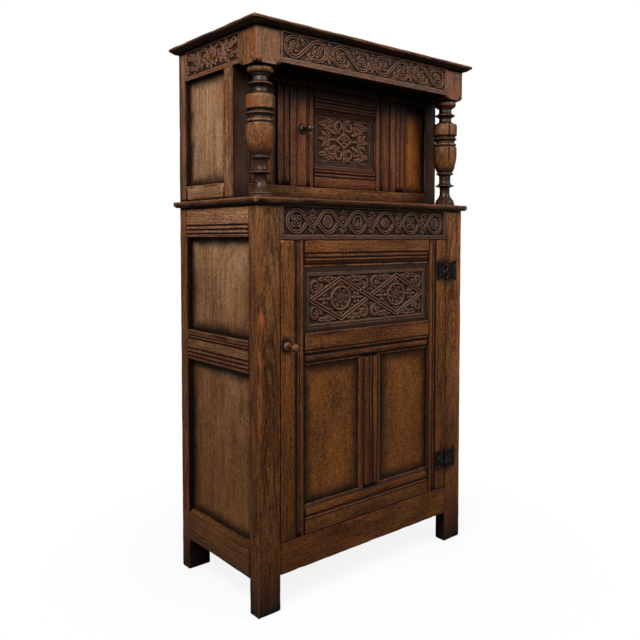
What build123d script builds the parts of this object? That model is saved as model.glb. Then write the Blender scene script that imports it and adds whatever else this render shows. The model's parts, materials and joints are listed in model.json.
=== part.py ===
from build123d import *
import os

os.makedirs("parts", exist_ok=True)

# A joined oak court cupboard: a tall lower cupboard with one framed door, and a recessed upper cupboard
# under a carved canopy that two turned corner posts carry.
# Millimetres, +Z up, front towards -Y. The origin is on the floor under the middle of the whole piece.

# ---------------------------------------------------------------- driving dimensions

CASE_WIDTH = 800.0
CASE_DEPTH = 395.0
TOTAL_HEIGHT = 1530.0

TOP_OVERHANG = 22.0
TOP_THICKNESS = 17.0
WAIST_OVERHANG = 14.0
WAIST_THICKNESS = 17.0
TOP_BEVEL_DEPTH = 13.0
TOP_BEVEL_RISE = 9.5
TOP_NOSE = 3.0
TOP_CORNER = 2.0
WAIST_COVE = 5.0
WAIST_NOSE = 4.0
WAIST_CORNER = 3.0

LEG_WIDTH = 71.0
LEG_DEPTH = 38.0
LEG_CLEAR_HEIGHT = 96.0
LEG_ARRIS_ROUND = 2.0
FOOT_ROUND = 5.0
WAIST_UNDERSIDE = 1069.0
FRIEZE_RAIL_BOTTOM = 978.0
FRONT_RAIL_TOP = 182.0
FRONT_RAIL_THICKNESS = 30.0

SIDE_RAIL_THICKNESS = 30.0
SIDE_BOTTOM_RAIL_TOP = 176.0
SIDE_MIDDLE_RAIL_BOTTOM = 631.0
SIDE_MIDDLE_RAIL_TOP = 717.0
SIDE_MIDDLE_RAIL_FLAT = 14.0
SIDE_STRIP = 6.0
SIDE_TOP_RAIL_BOTTOM = 984.0
SIDE_PANEL_RECESS = 16.0
SIDE_SPLAY_RISE = 10.0
PANEL_THICKNESS = 8.0
PANEL_TONGUE = 8.0
TENON_THICKNESS = 10.0
TENON_LENGTH = 26.0
TENON_SHOULDER = 6.0
FRONT_TENON_INSET = 10.0
SIDE_TENON_INSET = 2.0

BACK_RAIL_HEIGHT = 70.0
BACK_RAIL_THICKNESS = 22.0
BACK_RAIL_INSET = 8.0
BACK_PANEL_SETBACK = 6.0
FLOOR_THICKNESS = 14.0
FLOOR_DOOR_CLEARANCE = 0.5
SHELF_UNDERSIDE = 662.0
SHELF_THICKNESS = 16.0
SHELF_SETBACK = 62.0
BEARER_SIZE = 20.0

DOOR_GAP = 2.0
DOOR_THICKNESS = 22.0
DOOR_STILE_FLAT = 46.0
DOOR_TOP_RAIL_FLAT = 34.0
DOOR_MIDDLE_RAIL_TOP = 727.5
DOOR_MIDDLE_RAIL_FLAT = 46.0
DOOR_BOTTOM_RAIL_FLAT = 36.0
DOOR_CARVED_PANEL_RECESS = 8.0
DOOR_CARVED_PANEL_THICKNESS = 12.0
DOOR_PLAIN_PANEL_RECESS = 11.0
DOOR_TENON_LENGTH = 45.0
DOOR_TENON_INSET = 12.0
DOOR_TENON_THICKNESS = 8.0
DOOR_TENON_SHOULDER = 14.0
MUNTIN_TENON_LENGTH = 24.0
MUNTIN_TENON_HALF = 25.0

CABINET_RECESS = 111.0
CABINET_STILE_WIDTH = 51.0
CABINET_FRONT_STILE_DEPTH = 42.0
CABINET_BACK_STILE_DEPTH = 36.0
CABINET_SIDE_RAIL_TOP = 1130.0
CABINET_SIDE_RAIL_THICKNESS = 26.0
CABINET_SIDE_PANEL_RECESS = 14.0
CABINET_FRONT_THICKNESS = 22.0
CABINET_RAIL_TOP = 1128.0
CABINET_TOP_RAIL_BOTTOM = 1414.0
CABINET_PANEL_RECESS = 9.0
CABINET_TENON_INSET = 6.0
CABINET_BACK_INSET = 12.0
CABINET_ARRIS_ROUND = 1.5
MULLION_WIDTH = 64.0
MULLION_FLAT = 24.0
MULLION_SHOULDER = 12.0
CABINET_HEAD_TENON = 18.0
UPPER_DOOR_WIDTH = 369.0
UPPER_DOOR_THICKNESS = 20.0
UPPER_DOOR_STILE_FLAT = 33.0
UPPER_DOOR_RAIL_FLAT = 28.0
UPPER_DOOR_PANEL_RECESS = 8.0
UPPER_DOOR_PANEL_THICKNESS = 10.0
UPPER_TENON_LENGTH = 34.0
UPPER_TENON_INSET = 10.0
UPPER_TENON_THICKNESS = 7.0
UPPER_TENON_SHOULDER = 10.0

FRIEZE_BOTTOM = 1430.0
FRIEZE_THICKNESS = 22.0
FRIEZE_TENON_LENGTH = 20.0
FRIEZE_TENON_INSET = 6.0
SOFFIT_UNDERSIDE = 1440.0
SOFFIT_THICKNESS = 8.0
SOFFIT_TONGUE = 5.0
BLOCK_SIZE = 76.0
SPIGOT_RADIUS = 10.0
SPIGOT_LENGTH = 12.0

HINGE_HEIGHTS = (274.0, 879.0)
HINGE_HEIGHT = 48.0
HINGE_FLARE = 7.0
HINGE_REACH = 45.0
HINGE_PLATE = 1.8
KNUCKLE_RADIUS = 3.6
HINGE_PIN_RADIUS = 2.0
RUNNING_CLEARANCE = 0.05
KNUCKLE_CLEARANCE = 0.3
KNUCKLE_GAP = 0.5
PLATE_CLEARANCE = 0.6
HINGE_WAIST_REACH = 18.0
HINGE_WAIST_NARROWING = 3.0
PIN_HEAD_HEIGHT = 1.8
PIN_HEAD_OVERSIZE = 1.0

PIVOT_RADIUS = 3.0
PIVOT_LENGTH = 18.0
PIVOT_EDGE = 8.0
PIVOT_EDGE_ROUND = 5.0

KNOB_REACH = 45.0
KNOB_BALL_RADIUS = 11.0
KNOB_COLLAR_RADIUS = 10.5
KNOB_COLLAR_LENGTH = 5.0
KNOB_NECK_START = 9.0
KNOB_NECK_RADIUS = 5.4
KNOB_CLEARANCE = 0.4
SPINDLE_RADIUS = 4.0
LOWER_KNOB_EDGE = 20.0
LOWER_KNOB_HEIGHT = 700.0
UPPER_KNOB_EDGE = 18.0
UPPER_KNOB_HEIGHT = 1288.0
CATCH_LENGTH = 60.0
CATCH_WIDTH = 18.0
CATCH_THICKNESS = 9.0
CATCH_CLEARANCE = 2.0
CATCH_CORNER_ROUND = 8.0

# ---------------------------------------------------------------- levels and faces worked out from them

LEFT = -CASE_WIDTH / 2
# the lower knob stands out further than the top board, so the case is set back by half the difference
FRONT = -CASE_DEPTH / 2 + (KNOB_REACH - TOP_OVERHANG) / 2
BACK = FRONT + CASE_DEPTH
WAIST_TOP = WAIST_UNDERSIDE + WAIST_THICKNESS
TOP_UNDERSIDE = TOTAL_HEIGHT - TOP_THICKNESS
CABINET_FRONT = FRONT + CABINET_RECESS
SIDES = {"left": -1, "right": 1}


def across(side, distance):
    """The X of a point that lies the given distance inside the case's outer face on one side."""
    return side * (CASE_WIDTH / 2 - distance)


def keep(part, label):
    """Names a finished piece and writes it as its own node."""
    part.label = label
    export_step(part, f"parts/{label}.step")


def block(xs, ys, zs, mode=Mode.ADD):
    """A squared piece of wood between two limits on each axis, in the part being built."""
    middle = [(pair[0] + pair[1]) / 2 for pair in (xs, ys, zs)]
    size = [abs(pair[1] - pair[0]) for pair in (xs, ys, zs)]
    with Locations(tuple(middle)):
        Box(*size, mode=mode)


def board(xs, ys, zs):
    """A plain board or squared length of wood."""
    with BuildPart() as piece:
        block(xs, ys, zs)
    return piece


def house(part, *housed):
    """Cuts the grooves and mortises that other finished pieces sit in."""
    with BuildPart() as piece:
        add(part)
        for other in housed:
            add(other, mode=Mode.SUBTRACT)
    return piece.part


# ---------------------------------------------------------------- run mouldings

# A section is drawn across a rail or stile: u runs over its face, v is the height over the face.
# Each step is (run, v, bulge): the length of the step in u, the height that it ends at, and the rise
# of a rounded step, outwards if positive.

REED_RISE = 1.5


def quirk():
    """The narrow cut beside a reed. It ends a reed's rise below the face."""
    return [(1, -2 * REED_RISE, 0), (1, -REED_RISE, 0)]


def reed(width):
    """A quirk and the round reed after it, whose crown is level with the face."""
    return quirk() + [(width, -REED_RISE, REED_RISE)]


def band(width):
    """A flat band after a quirk, level with the face."""
    return [(0, 0, 0), (width, 0, 0)]


STILE_MOULDING = [
    (1, -3.5, 0), (7, -3, -0.8), (1, -1.2, 0), (5, -1.2, 1.2),
    (1, -3.5, 0), (1, -1.5, 0), (16, -3, 2), (3, -8, 0),
]
RAIL_MOULDING = reed(10) + [
    (1, -3.2, 0), (1, -2, 0), (8, -2, 1.4), (1, -3, 0), (4, -2.8, 0.8), (10, -8, -1), (2, -8, 0),
]
MIDDLE_RAIL_MOULDING = [
    (1, -3, 0), (1, -1.2, 0), (6, -1.2, 1.2), (6, -4, -0.8),
    (1, -2, 0), (15, -2.5, 1.8), (2, -4, 0), (8, -8, -0.8),
]
BOTTOM_RAIL_MOULDING = [
    (1, -2.5, 0), (1, -1, 0), (3, -1, 0.8), (7, -4.5, -1), (1, -2, 0), (22, -3, 2), (8, -9, 0),
]
MUNTIN_GROOVE = 3.0
MUNTIN_GROOVE_HALF = 6.0
MUNTIN_MOULDING = [(1, 1.2, 0), (18, 0.8, 1.8), (2, -1, 0), (15, -7, -0.8)]
SIDE_REEDS = reed(10) + reed(9) + reed(9)
CABINET_STILE_MOULDING = [
    (1, -3, 0), (1, -1.2, 0), (5, -1.2, 1.2), (1, -3, 0), (1, -1.8, 0), (18, -2.2, 1.8), (3, -7, 0),
]
CABINET_RAIL_MOULDING = reed(9) + reed(9) + [(8, -3, 1), (5, -7, 0)]
MULLION_REEDS = reed(18) + reed(18)


def run_length(steps):
    return sum(step[0] for step in steps)


def trace(flat, steps, thickness):
    """The outline of a stick: a flat, then its moulding, then straight down to its back."""
    Line((0, -thickness), (0, 0))
    Line((0, 0), (flat, 0))
    start = (flat, 0)
    for run, height, bulge in steps:
        end = (start[0] + run, height)
        if bulge:
            SagittaArc(start, end, bulge)
        else:
            Line(start, end)
        start = end
    Line(start, (start[0], -thickness))
    Line((start[0], -thickness), (0, -thickness))


def stick(start, run, face, length, flat, steps, thickness):
    """A moulded length of wood: run is the way over its face, face is the way the face looks."""
    section_plane = Plane(origin=start, x_dir=run, z_dir=Vector(*run).cross(Vector(*face)))
    with BuildPart() as piece:
        with BuildSketch(section_plane):
            with BuildLine():
                trace(flat, steps, thickness)
            make_face()
        extrude(amount=length)
    return piece


def front_rail(left, right, outer_z, down, front, flat, steps, thickness):
    """A front rail between two X positions; its moulding runs down, or up, from the outer edge."""
    start_x = right if down else left
    run = (0, 0, -1) if down else (0, 0, 1)
    return stick((start_x, front, outer_z), run, (0, -1, 0), right - left, flat, steps, thickness)


def front_stile(side, outer_x, bottom, top, front, flat, steps, thickness):
    """A front stile between two heights; its moulding runs inwards from the outer edge."""
    start_z = top if side < 0 else bottom
    return stick((outer_x, front, start_z), (-side, 0, 0), (0, -1, 0), top - bottom, flat, steps, thickness)


def side_rail(side, outer_z, down, front, back, flat, steps, thickness):
    """A side rail of the case between two Y positions, its face flush with the case's side."""
    run = (0, 0, -1) if down else (0, 0, 1)
    forwards = (side < 0) == down
    start_y = front if forwards else back
    return stick((across(side, 0), start_y, outer_z), run, (side, 0, 0), back - front, flat, steps, thickness)


def tenons_in_x(left, right, length, ys, zs):
    """A tenon at each end of a rail that runs in X."""
    block((left - length, left), ys, zs)
    block((right, right + length), ys, zs)


def tenons_in_y(front, back, length, xs, zs):
    """A tenon at each end of a rail that runs in Y."""
    block(xs, (front - length, front), zs)
    block(xs, (back, back + length), zs)


# ---------------------------------------------------------------- lower case: panels, rails and legs

FRONT_TENON = (FRONT + FRONT_TENON_INSET, FRONT + FRONT_TENON_INSET + TENON_THICKNESS)


def side_panel(side, bottom, top):
    """A plain oak panel in the grooves of one side frame."""
    outer, inner = SIDE_PANEL_RECESS, SIDE_PANEL_RECESS + PANEL_THICKNESS
    ys = (FRONT + LEG_DEPTH - PANEL_TONGUE, BACK - LEG_DEPTH + PANEL_TONGUE)
    return board((across(side, outer), across(side, inner)), ys, (bottom - PANEL_TONGUE, top + PANEL_TONGUE))


def lower_side(side, side_name):
    """The rails and panels of one side of the lower case. Returns them for the legs to be cut from."""
    front, back = FRONT + LEG_DEPTH, BACK - LEG_DEPTH
    tenon_xs = (across(side, SIDE_TENON_INSET), across(side, SIDE_TENON_INSET + TENON_THICKNESS))
    splay = [(SIDE_SPLAY_RISE, -SIDE_PANEL_RECESS, 0)]
    splay_top = SIDE_BOTTOM_RAIL_TOP + run_length(splay)
    upper_panel = side_panel(side, SIDE_MIDDLE_RAIL_TOP, SIDE_TOP_RAIL_BOTTOM)
    lower_panel = side_panel(side, splay_top, SIDE_MIDDLE_RAIL_BOTTOM)
    panels = [upper_panel.part, lower_panel.part]

    top_flat = WAIST_UNDERSIDE - SIDE_TOP_RAIL_BOTTOM - run_length(SIDE_REEDS)
    bottom_flat = SIDE_BOTTOM_RAIL_TOP - LEG_CLEAR_HEIGHT
    middle_height = SIDE_MIDDLE_RAIL_TOP - SIDE_MIDDLE_RAIL_BOTTOM
    middle_strip = reed(SIDE_STRIP) + quirk()
    middle_band = middle_height - SIDE_MIDDLE_RAIL_FLAT - run_length(middle_strip + SIDE_REEDS)
    middle_steps = middle_strip + band(middle_band) + SIDE_REEDS
    rails = {
        "top": (WAIST_UNDERSIDE, SIDE_TOP_RAIL_BOTTOM, True, top_flat, SIDE_REEDS),
        "middle": (SIDE_MIDDLE_RAIL_TOP, SIDE_MIDDLE_RAIL_BOTTOM, True, SIDE_MIDDLE_RAIL_FLAT, middle_steps),
        "bottom": (LEG_CLEAR_HEIGHT, SIDE_BOTTOM_RAIL_TOP, False, bottom_flat, splay),
    }
    made = list(panels)
    for name, (outer_z, inner_z, down, flat, steps) in rails.items():
        low, high = sorted((outer_z, inner_z))
        with BuildPart() as rail:
            add(side_rail(side, outer_z, down, front, back, flat, steps, SIDE_RAIL_THICKNESS).part)
            tenons_in_y(front, back, TENON_LENGTH, tenon_xs, (low + TENON_SHOULDER, high - TENON_SHOULDER))
            for panel in panels:
                add(panel, mode=Mode.SUBTRACT)
        keep(rail.part, f"side_{name}_rail_{side_name}")
        made.append(rail.part)
    return made


def front_rails():
    """The bottom rail under the door and the carved frieze rail over it."""
    left, right = across(-1, LEG_WIDTH), across(1, LEG_WIDTH)
    spans = {
        "front_bottom_rail": (LEG_CLEAR_HEIGHT, FRONT_RAIL_TOP),
        "front_frieze_rail": (FRIEZE_RAIL_BOTTOM, WAIST_UNDERSIDE),
    }
    made = []
    for name, (low, high) in spans.items():
        with BuildPart() as rail:
            block((left, right), (FRONT, FRONT + FRONT_RAIL_THICKNESS), (low, high))
            tenon_zs = (low + TENON_SHOULDER, high - TENON_SHOULDER)
            tenons_in_x(left, right, TENON_LENGTH, FRONT_TENON, tenon_zs)
        keep(rail.part, name)
        made.append(rail.part)
    return made


back_panel_face = BACK - BACK_RAIL_INSET - BACK_PANEL_SETBACK - PANEL_THICKNESS


def lower_back():
    """The two back rails and the back panel between them."""
    left, right = across(-1, LEG_WIDTH), across(1, LEG_WIDTH)
    rail_ys = (BACK - BACK_RAIL_INSET - BACK_RAIL_THICKNESS, BACK - BACK_RAIL_INSET)
    panel_ys = (back_panel_face, back_panel_face + PANEL_THICKNESS)
    bottom_rail = (FRONT_RAIL_TOP - BACK_RAIL_HEIGHT, FRONT_RAIL_TOP)
    top_rail = (WAIST_UNDERSIDE - BACK_RAIL_HEIGHT, WAIST_UNDERSIDE)
    panel_xs = (left - PANEL_TONGUE, right + PANEL_TONGUE)
    panel = board(panel_xs, panel_ys, (bottom_rail[1] - PANEL_TONGUE, top_rail[0] + PANEL_TONGUE))
    keep(panel.part, "lower_back_panel")
    with BuildPart() as rails:
        for low, high in (bottom_rail, top_rail):
            block((left, right), rail_ys, (low, high))
            tenon_ys = (rail_ys[0] + TENON_SHOULDER, rail_ys[0] + TENON_SHOULDER + TENON_THICKNESS)
            tenons_in_x(left, right, TENON_LENGTH, tenon_ys, (low + TENON_SHOULDER, high - TENON_SHOULDER))
        add(panel.part, mode=Mode.SUBTRACT)
    keep(rails.part, "lower_back_rails")
    return [panel.part, rails.part]


def leg(side, front_leg):
    """A squared leg with eased edges and worn foot, from the floor to the waist board."""
    ys = (FRONT, FRONT + LEG_DEPTH) if front_leg else (BACK - LEG_DEPTH, BACK)
    with BuildPart() as post:
        block((across(side, 0), across(side, LEG_WIDTH)), ys, (0, WAIST_UNDERSIDE))
        fillet(post.edges().filter_by(Axis.Z), LEG_ARRIS_ROUND)
        fillet(post.faces().sort_by(Axis.Z)[0].edges(), FOOT_ROUND)
    return post.part


side_pieces = {name: lower_side(side, name) for name, side in SIDES.items()}
front_pieces = front_rails()
back_pieces = lower_back()

legs = []
for side_name, side in SIDES.items():
    for row, row_pieces in (("front", front_pieces), ("back", back_pieces)):
        post = house(leg(side, row == "front"), *side_pieces[side_name], *row_pieces)
        keep(post, f"{row}_leg_{side_name}")
        legs.append(post)

# ---------------------------------------------------------------- lower case: floor, shelf and bearers

inner_xs = (across(-1, SIDE_RAIL_THICKNESS), across(1, SIDE_RAIL_THICKNESS))

with BuildPart() as lower_floor:
    floor_ys = (FRONT + DOOR_THICKNESS + FLOOR_DOOR_CLEARANCE, back_panel_face)
    floor_zs = (FRONT_RAIL_TOP, FRONT_RAIL_TOP + FLOOR_THICKNESS)
    block(inner_xs, floor_ys, floor_zs)
    for side in SIDES.values():
        corner_xs = (across(side, 0), across(side, LEG_WIDTH))
        block(corner_xs, (FRONT, FRONT + LEG_DEPTH), floor_zs, Mode.SUBTRACT)
        block(corner_xs, (BACK - LEG_DEPTH, BACK), floor_zs, Mode.SUBTRACT)
keep(lower_floor.part, "lower_floor")

shelf_ys = (FRONT + SHELF_SETBACK, BACK - LEG_DEPTH)
shelf_zs = (SHELF_UNDERSIDE, SHELF_UNDERSIDE + SHELF_THICKNESS)
shelf = board(inner_xs, shelf_ys, shelf_zs)
keep(shelf.part, "lower_shelf")

with BuildPart() as bearers:
    for side in SIDES.values():
        bearer_xs = (across(side, SIDE_RAIL_THICKNESS), across(side, SIDE_RAIL_THICKNESS + BEARER_SIZE))
        for top in (FRONT_RAIL_TOP, SHELF_UNDERSIDE):
            block(bearer_xs, (FRONT + LEG_DEPTH, BACK - LEG_DEPTH), (top - BEARER_SIZE, top))
keep(bearers.part, "shelf_bearers")

# ---------------------------------------------------------------- canopy: corner posts, friezes, soffit


def baluster_outline():
    """Draws half of the turned outline over the waist board, from its foot up into the square block."""
    neck_low, neck_middle, neck_high = 16.0, 18.5, 19.5
    swell = BLOCK_SIZE / 2
    foot = WAIST_TOP
    # each step: (height over the waist board, radius, bulge of the line that reaches it)
    steps = [
        (0, 31, 0), (6, 31, 1.6), (7.5, 29, 0), (12, 29.5, 1.4), (13.5, 27.5, 0), (18, 27.5, 1),
        (43, neck_low, -3.2), (56, neck_low, 0), (59.5, 20, -0.8), (62.5, 29.5, 0), (65, 30, 0.6),
        (73, neck_middle, -1.8), (95, neck_middle, -0.4), (98, 21, -0.6), (99, 25, 0), (105, 25, 1.4),
        (106.5, 23, 0), (128, 31.8, 1.8), (158, swell - 0.8, 0.9), (182, swell - 1, 0.3), (188, swell - 3.5, 1),
        (190, 32, 0), (192, 35, 0), (198, 35, 1), (200, 30.5, 0), (206, 30.5, -0.6), (211, 35.5, 0),
        (214, swell - 0.6, 0.6), (220, 31.5, -0.8), (222, 31, 0), (224.5, swell - 0.5, 0.6),
        (254, swell - 0.3, 0.2), (261, 31.5, 2), (265, 25, -0.8), (270, neck_high, -0.8),
        (279, neck_high, 0), (283, 24, -0.8), (287.5, 31, 0), (290, 31, 0.6), (297, 20.5, -1.6),
        (309, neck_high, 0), (310.5, 24, 0), (313, 24.5, 0.6), (314, 28.5, 0),
        (333, 29.5, 5), (334.5, 33, 0), (343, BLOCK_SIZE * 0.72, 3),
    ]
    points = [((radius, foot + height), bulge) for height, radius, bulge in steps]
    Line((0, foot), points[0][0])
    for (start, _), (end, bulge) in zip(points, points[1:]):
        if bulge:
            SagittaArc(start, end, -bulge)
        else:
            Line(start, end)
    outer = points[-1][0]
    Line(outer, (outer[0], TOP_UNDERSIDE))
    Line((outer[0], TOP_UNDERSIDE), (0, TOP_UNDERSIDE))
    Line((0, TOP_UNDERSIDE), (0, foot))


def corner_post(side):
    """A turned baluster with its square block, all one piece, with a spigot into the waist board."""
    centre = (across(side, BLOCK_SIZE / 2), FRONT + BLOCK_SIZE / 2)
    with BuildPart() as post:
        with BuildSketch(Plane(origin=(*centre, 0), x_dir=(1, 0, 0), z_dir=(0, -1, 0))):
            with BuildLine():
                baluster_outline()
            make_face()
        revolve(axis=Axis((*centre, 0), (0, 0, 1)))
        xs = (across(side, 0), across(side, BLOCK_SIZE))
        block(xs, (FRONT, FRONT + BLOCK_SIZE), (WAIST_TOP, TOP_UNDERSIDE), Mode.INTERSECT)
        with Locations((*centre, WAIST_TOP)):
            Cylinder(SPIGOT_RADIUS, SPIGOT_LENGTH, align=(Align.CENTER, Align.CENTER, Align.MAX))
    return post.part


def front_frieze():
    """The carved board across the front of the canopy."""
    left, right = across(-1, BLOCK_SIZE), across(1, BLOCK_SIZE)
    with BuildPart() as frieze:
        block((left, right), (FRONT, FRONT + FRIEZE_THICKNESS), (FRIEZE_BOTTOM, TOP_UNDERSIDE))
        tenon_front = FRONT + FRIEZE_TENON_INSET
        tenon_ys = (tenon_front, tenon_front + TENON_THICKNESS)
        tenon_zs = (FRIEZE_BOTTOM + TENON_SHOULDER, TOP_UNDERSIDE - TENON_SHOULDER)
        tenons_in_x(left, right, FRIEZE_TENON_LENGTH, tenon_ys, tenon_zs)
    return frieze.part


side_front = CABINET_FRONT + CABINET_FRONT_STILE_DEPTH
side_back = BACK - CABINET_BACK_STILE_DEPTH
cabinet_panels = {}
for side in SIDES.values():
    panel_inner = CABINET_SIDE_PANEL_RECESS + PANEL_THICKNESS
    panel_xs = (across(side, CABINET_SIDE_PANEL_RECESS), across(side, panel_inner))
    panel_ys = (side_front - PANEL_TONGUE, side_back + PANEL_TONGUE)
    panel_zs = (CABINET_SIDE_RAIL_TOP - PANEL_TONGUE, FRIEZE_BOTTOM + PANEL_TONGUE)
    cabinet_panels[side] = board(panel_xs, panel_ys, panel_zs).part


def side_frieze(side):
    """The carved board along one side of the canopy and the cabinet, grooved for the panel under it."""
    front, back = FRONT + BLOCK_SIZE, BACK - CABINET_BACK_STILE_DEPTH
    frieze_xs = (across(side, 0), across(side, FRIEZE_THICKNESS))
    with BuildPart() as frieze:
        block(frieze_xs, (front, back), (FRIEZE_BOTTOM, TOP_UNDERSIDE))
        tenon_xs = (across(side, FRIEZE_TENON_INSET), across(side, FRIEZE_TENON_INSET + TENON_THICKNESS))
        tenon_zs = (FRIEZE_BOTTOM + TENON_SHOULDER, TOP_UNDERSIDE - TENON_SHOULDER)
        tenons_in_y(front, back, FRIEZE_TENON_LENGTH, tenon_xs, tenon_zs)
        add(cabinet_panels[side], mode=Mode.SUBTRACT)
    return frieze.part


soffit_edge = FRIEZE_THICKNESS - SOFFIT_TONGUE
with BuildPart() as soffit:
    soffit_xs = (across(-1, soffit_edge), across(1, soffit_edge))
    soffit_zs = (SOFFIT_UNDERSIDE, SOFFIT_UNDERSIDE + SOFFIT_THICKNESS)
    block(soffit_xs, (FRONT + soffit_edge, BACK - CABINET_BACK_INSET), soffit_zs)
    for side in SIDES.values():
        block_xs = (across(side, 0), across(side, BLOCK_SIZE))
        block(block_xs, (FRONT, FRONT + BLOCK_SIZE), soffit_zs, Mode.SUBTRACT)
        stile_xs = (across(side, 0), across(side, CABINET_STILE_WIDTH))
        block(stile_xs, (BACK - CABINET_BACK_STILE_DEPTH, BACK), soffit_zs, Mode.SUBTRACT)
keep(soffit.part, "canopy_soffit")

front_frieze_part = front_frieze()
side_friezes = {name: side_frieze(side) for name, side in SIDES.items()}
corner_posts = {}
for side_name, side in SIDES.items():
    corner_posts[side_name] = house(corner_post(side), front_frieze_part, side_friezes[side_name])
    keep(corner_posts[side_name], f"corner_post_{side_name}")
    keep(house(side_friezes[side_name], soffit.part), f"side_frieze_{side_name}")
keep(house(front_frieze_part, soffit.part), "front_frieze")

# ---------------------------------------------------------------- waist board and top board

with BuildPart() as waist_board:
    waist_xs = (LEFT - WAIST_OVERHANG, -LEFT + WAIST_OVERHANG)
    block(waist_xs, (FRONT - WAIST_OVERHANG, BACK + WAIST_OVERHANG), (WAIST_UNDERSIDE, WAIST_TOP))
    chamfer(waist_board.faces().sort_by(Axis.Z)[0].edges(), WAIST_COVE)
    fillet(waist_board.faces().sort_by(Axis.Z)[-1].edges(), WAIST_NOSE)
    fillet(waist_board.edges().group_by(Axis.Z)[1], WAIST_CORNER)
    for post in corner_posts.values():
        add(post, mode=Mode.SUBTRACT)
keep(waist_board.part, "waist_board")

with BuildPart() as top_board:
    top_xs = (LEFT - TOP_OVERHANG, -LEFT + TOP_OVERHANG)
    block(top_xs, (FRONT - TOP_OVERHANG, BACK + TOP_OVERHANG), (TOP_UNDERSIDE, TOTAL_HEIGHT))
    top_underface = top_board.faces().sort_by(Axis.Z)[0]
    chamfer(top_underface.edges(), TOP_BEVEL_DEPTH, TOP_BEVEL_RISE, reference=top_underface)
    fillet(top_board.faces().sort_by(Axis.Z)[-1].edges(), TOP_NOSE)
    fillet(top_board.edges().group_by(Axis.Z)[1], TOP_CORNER)
keep(top_board.part, "top_board")

# ---------------------------------------------------------------- upper cabinet: carcass

cabinet_front_ys = (CABINET_FRONT, CABINET_FRONT + CABINET_FRONT_THICKNESS)
cabinet_left, cabinet_right = across(-1, CABINET_STILE_WIDTH), across(1, CABINET_STILE_WIDTH)
door_opening = UPPER_DOOR_WIDTH / 2 + DOOR_GAP
cabinet_tenon_front = CABINET_FRONT + CABINET_TENON_INSET
cabinet_tenon_ys = (cabinet_tenon_front, cabinet_tenon_front + TENON_THICKNESS)


def mullion(side):
    """The reeded upright between the upper door and a fixed panel, tenoned into both rails."""
    start_z = CABINET_TOP_RAIL_BOTTOM if side > 0 else CABINET_RAIL_TOP
    height = CABINET_TOP_RAIL_BOTTOM - CABINET_RAIL_TOP
    start = (side * door_opening, CABINET_FRONT, start_z)
    run, face = (side, 0, 0), (0, -1, 0)
    tenon_edges = (door_opening + MULLION_SHOULDER, door_opening + MULLION_WIDTH - MULLION_SHOULDER)
    tenon_xs = (side * tenon_edges[0], side * tenon_edges[1])
    with BuildPart() as piece:
        add(stick(start, run, face, height, MULLION_FLAT, MULLION_REEDS, CABINET_FRONT_THICKNESS).part)
        block(tenon_xs, cabinet_tenon_ys, (CABINET_RAIL_TOP - CABINET_HEAD_TENON, CABINET_RAIL_TOP))
        head_zs = (CABINET_TOP_RAIL_BOTTOM, CABINET_TOP_RAIL_BOTTOM + CABINET_HEAD_TENON)
        block(tenon_xs, cabinet_tenon_ys, head_zs)
    return piece.part


with BuildPart() as fixed_panels:
    fixed_ys = (CABINET_FRONT + CABINET_PANEL_RECESS, CABINET_FRONT + CABINET_PANEL_RECESS + PANEL_THICKNESS)
    fixed_zs = (CABINET_RAIL_TOP - PANEL_TONGUE, CABINET_TOP_RAIL_BOTTOM + PANEL_TONGUE)
    for side in SIDES.values():
        inner_x = side * (door_opening + MULLION_WIDTH - PANEL_TONGUE)
        block((inner_x, across(side, CABINET_STILE_WIDTH - PANEL_TONGUE)), fixed_ys, fixed_zs)
keep(fixed_panels.part, "cabinet_fixed_panels")

mullions = []
for side_name, side in SIDES.items():
    upright = house(mullion(side), fixed_panels.part)
    keep(upright, f"cabinet_mullion_{side_name}")
    mullions.append(upright)

pivot_x = UPPER_DOOR_WIDTH / 2 - PIVOT_EDGE
pivot_y = CABINET_FRONT + PIVOT_EDGE
with BuildPart() as pivots:
    for end in (CABINET_RAIL_TOP, CABINET_TOP_RAIL_BOTTOM):
        with Locations((pivot_x, pivot_y, end)):
            Cylinder(PIVOT_RADIUS, 2 * PIVOT_LENGTH)
keep(pivots.part, "upper_door_pivots")

cabinet_rails = []
for rail_name, rail_zs in {
    "cabinet_bottom_rail": (WAIST_TOP, CABINET_RAIL_TOP),
    "cabinet_top_rail": (CABINET_TOP_RAIL_BOTTOM, SOFFIT_UNDERSIDE),
}.items():
    with BuildPart() as cabinet_rail:
        block((cabinet_left, cabinet_right), cabinet_front_ys, rail_zs)
        rail_tenon_zs = (rail_zs[0] + TENON_SHOULDER, rail_zs[1] - TENON_SHOULDER)
        tenons_in_x(cabinet_left, cabinet_right, TENON_LENGTH, cabinet_tenon_ys, rail_tenon_zs)
        for housed in (*mullions, fixed_panels.part, pivots.part):
            add(housed, mode=Mode.SUBTRACT)
    keep(cabinet_rail.part, rail_name)
    cabinet_rails.append(cabinet_rail.part)

with BuildPart() as cabinet_back:
    back_ys = (BACK - CABINET_BACK_INSET, BACK - CABINET_BACK_INSET + PANEL_THICKNESS)
    block((cabinet_left - PANEL_TONGUE, cabinet_right + PANEL_TONGUE), back_ys, (WAIST_TOP, TOP_UNDERSIDE))
keep(cabinet_back.part, "cabinet_back_panel")

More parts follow.
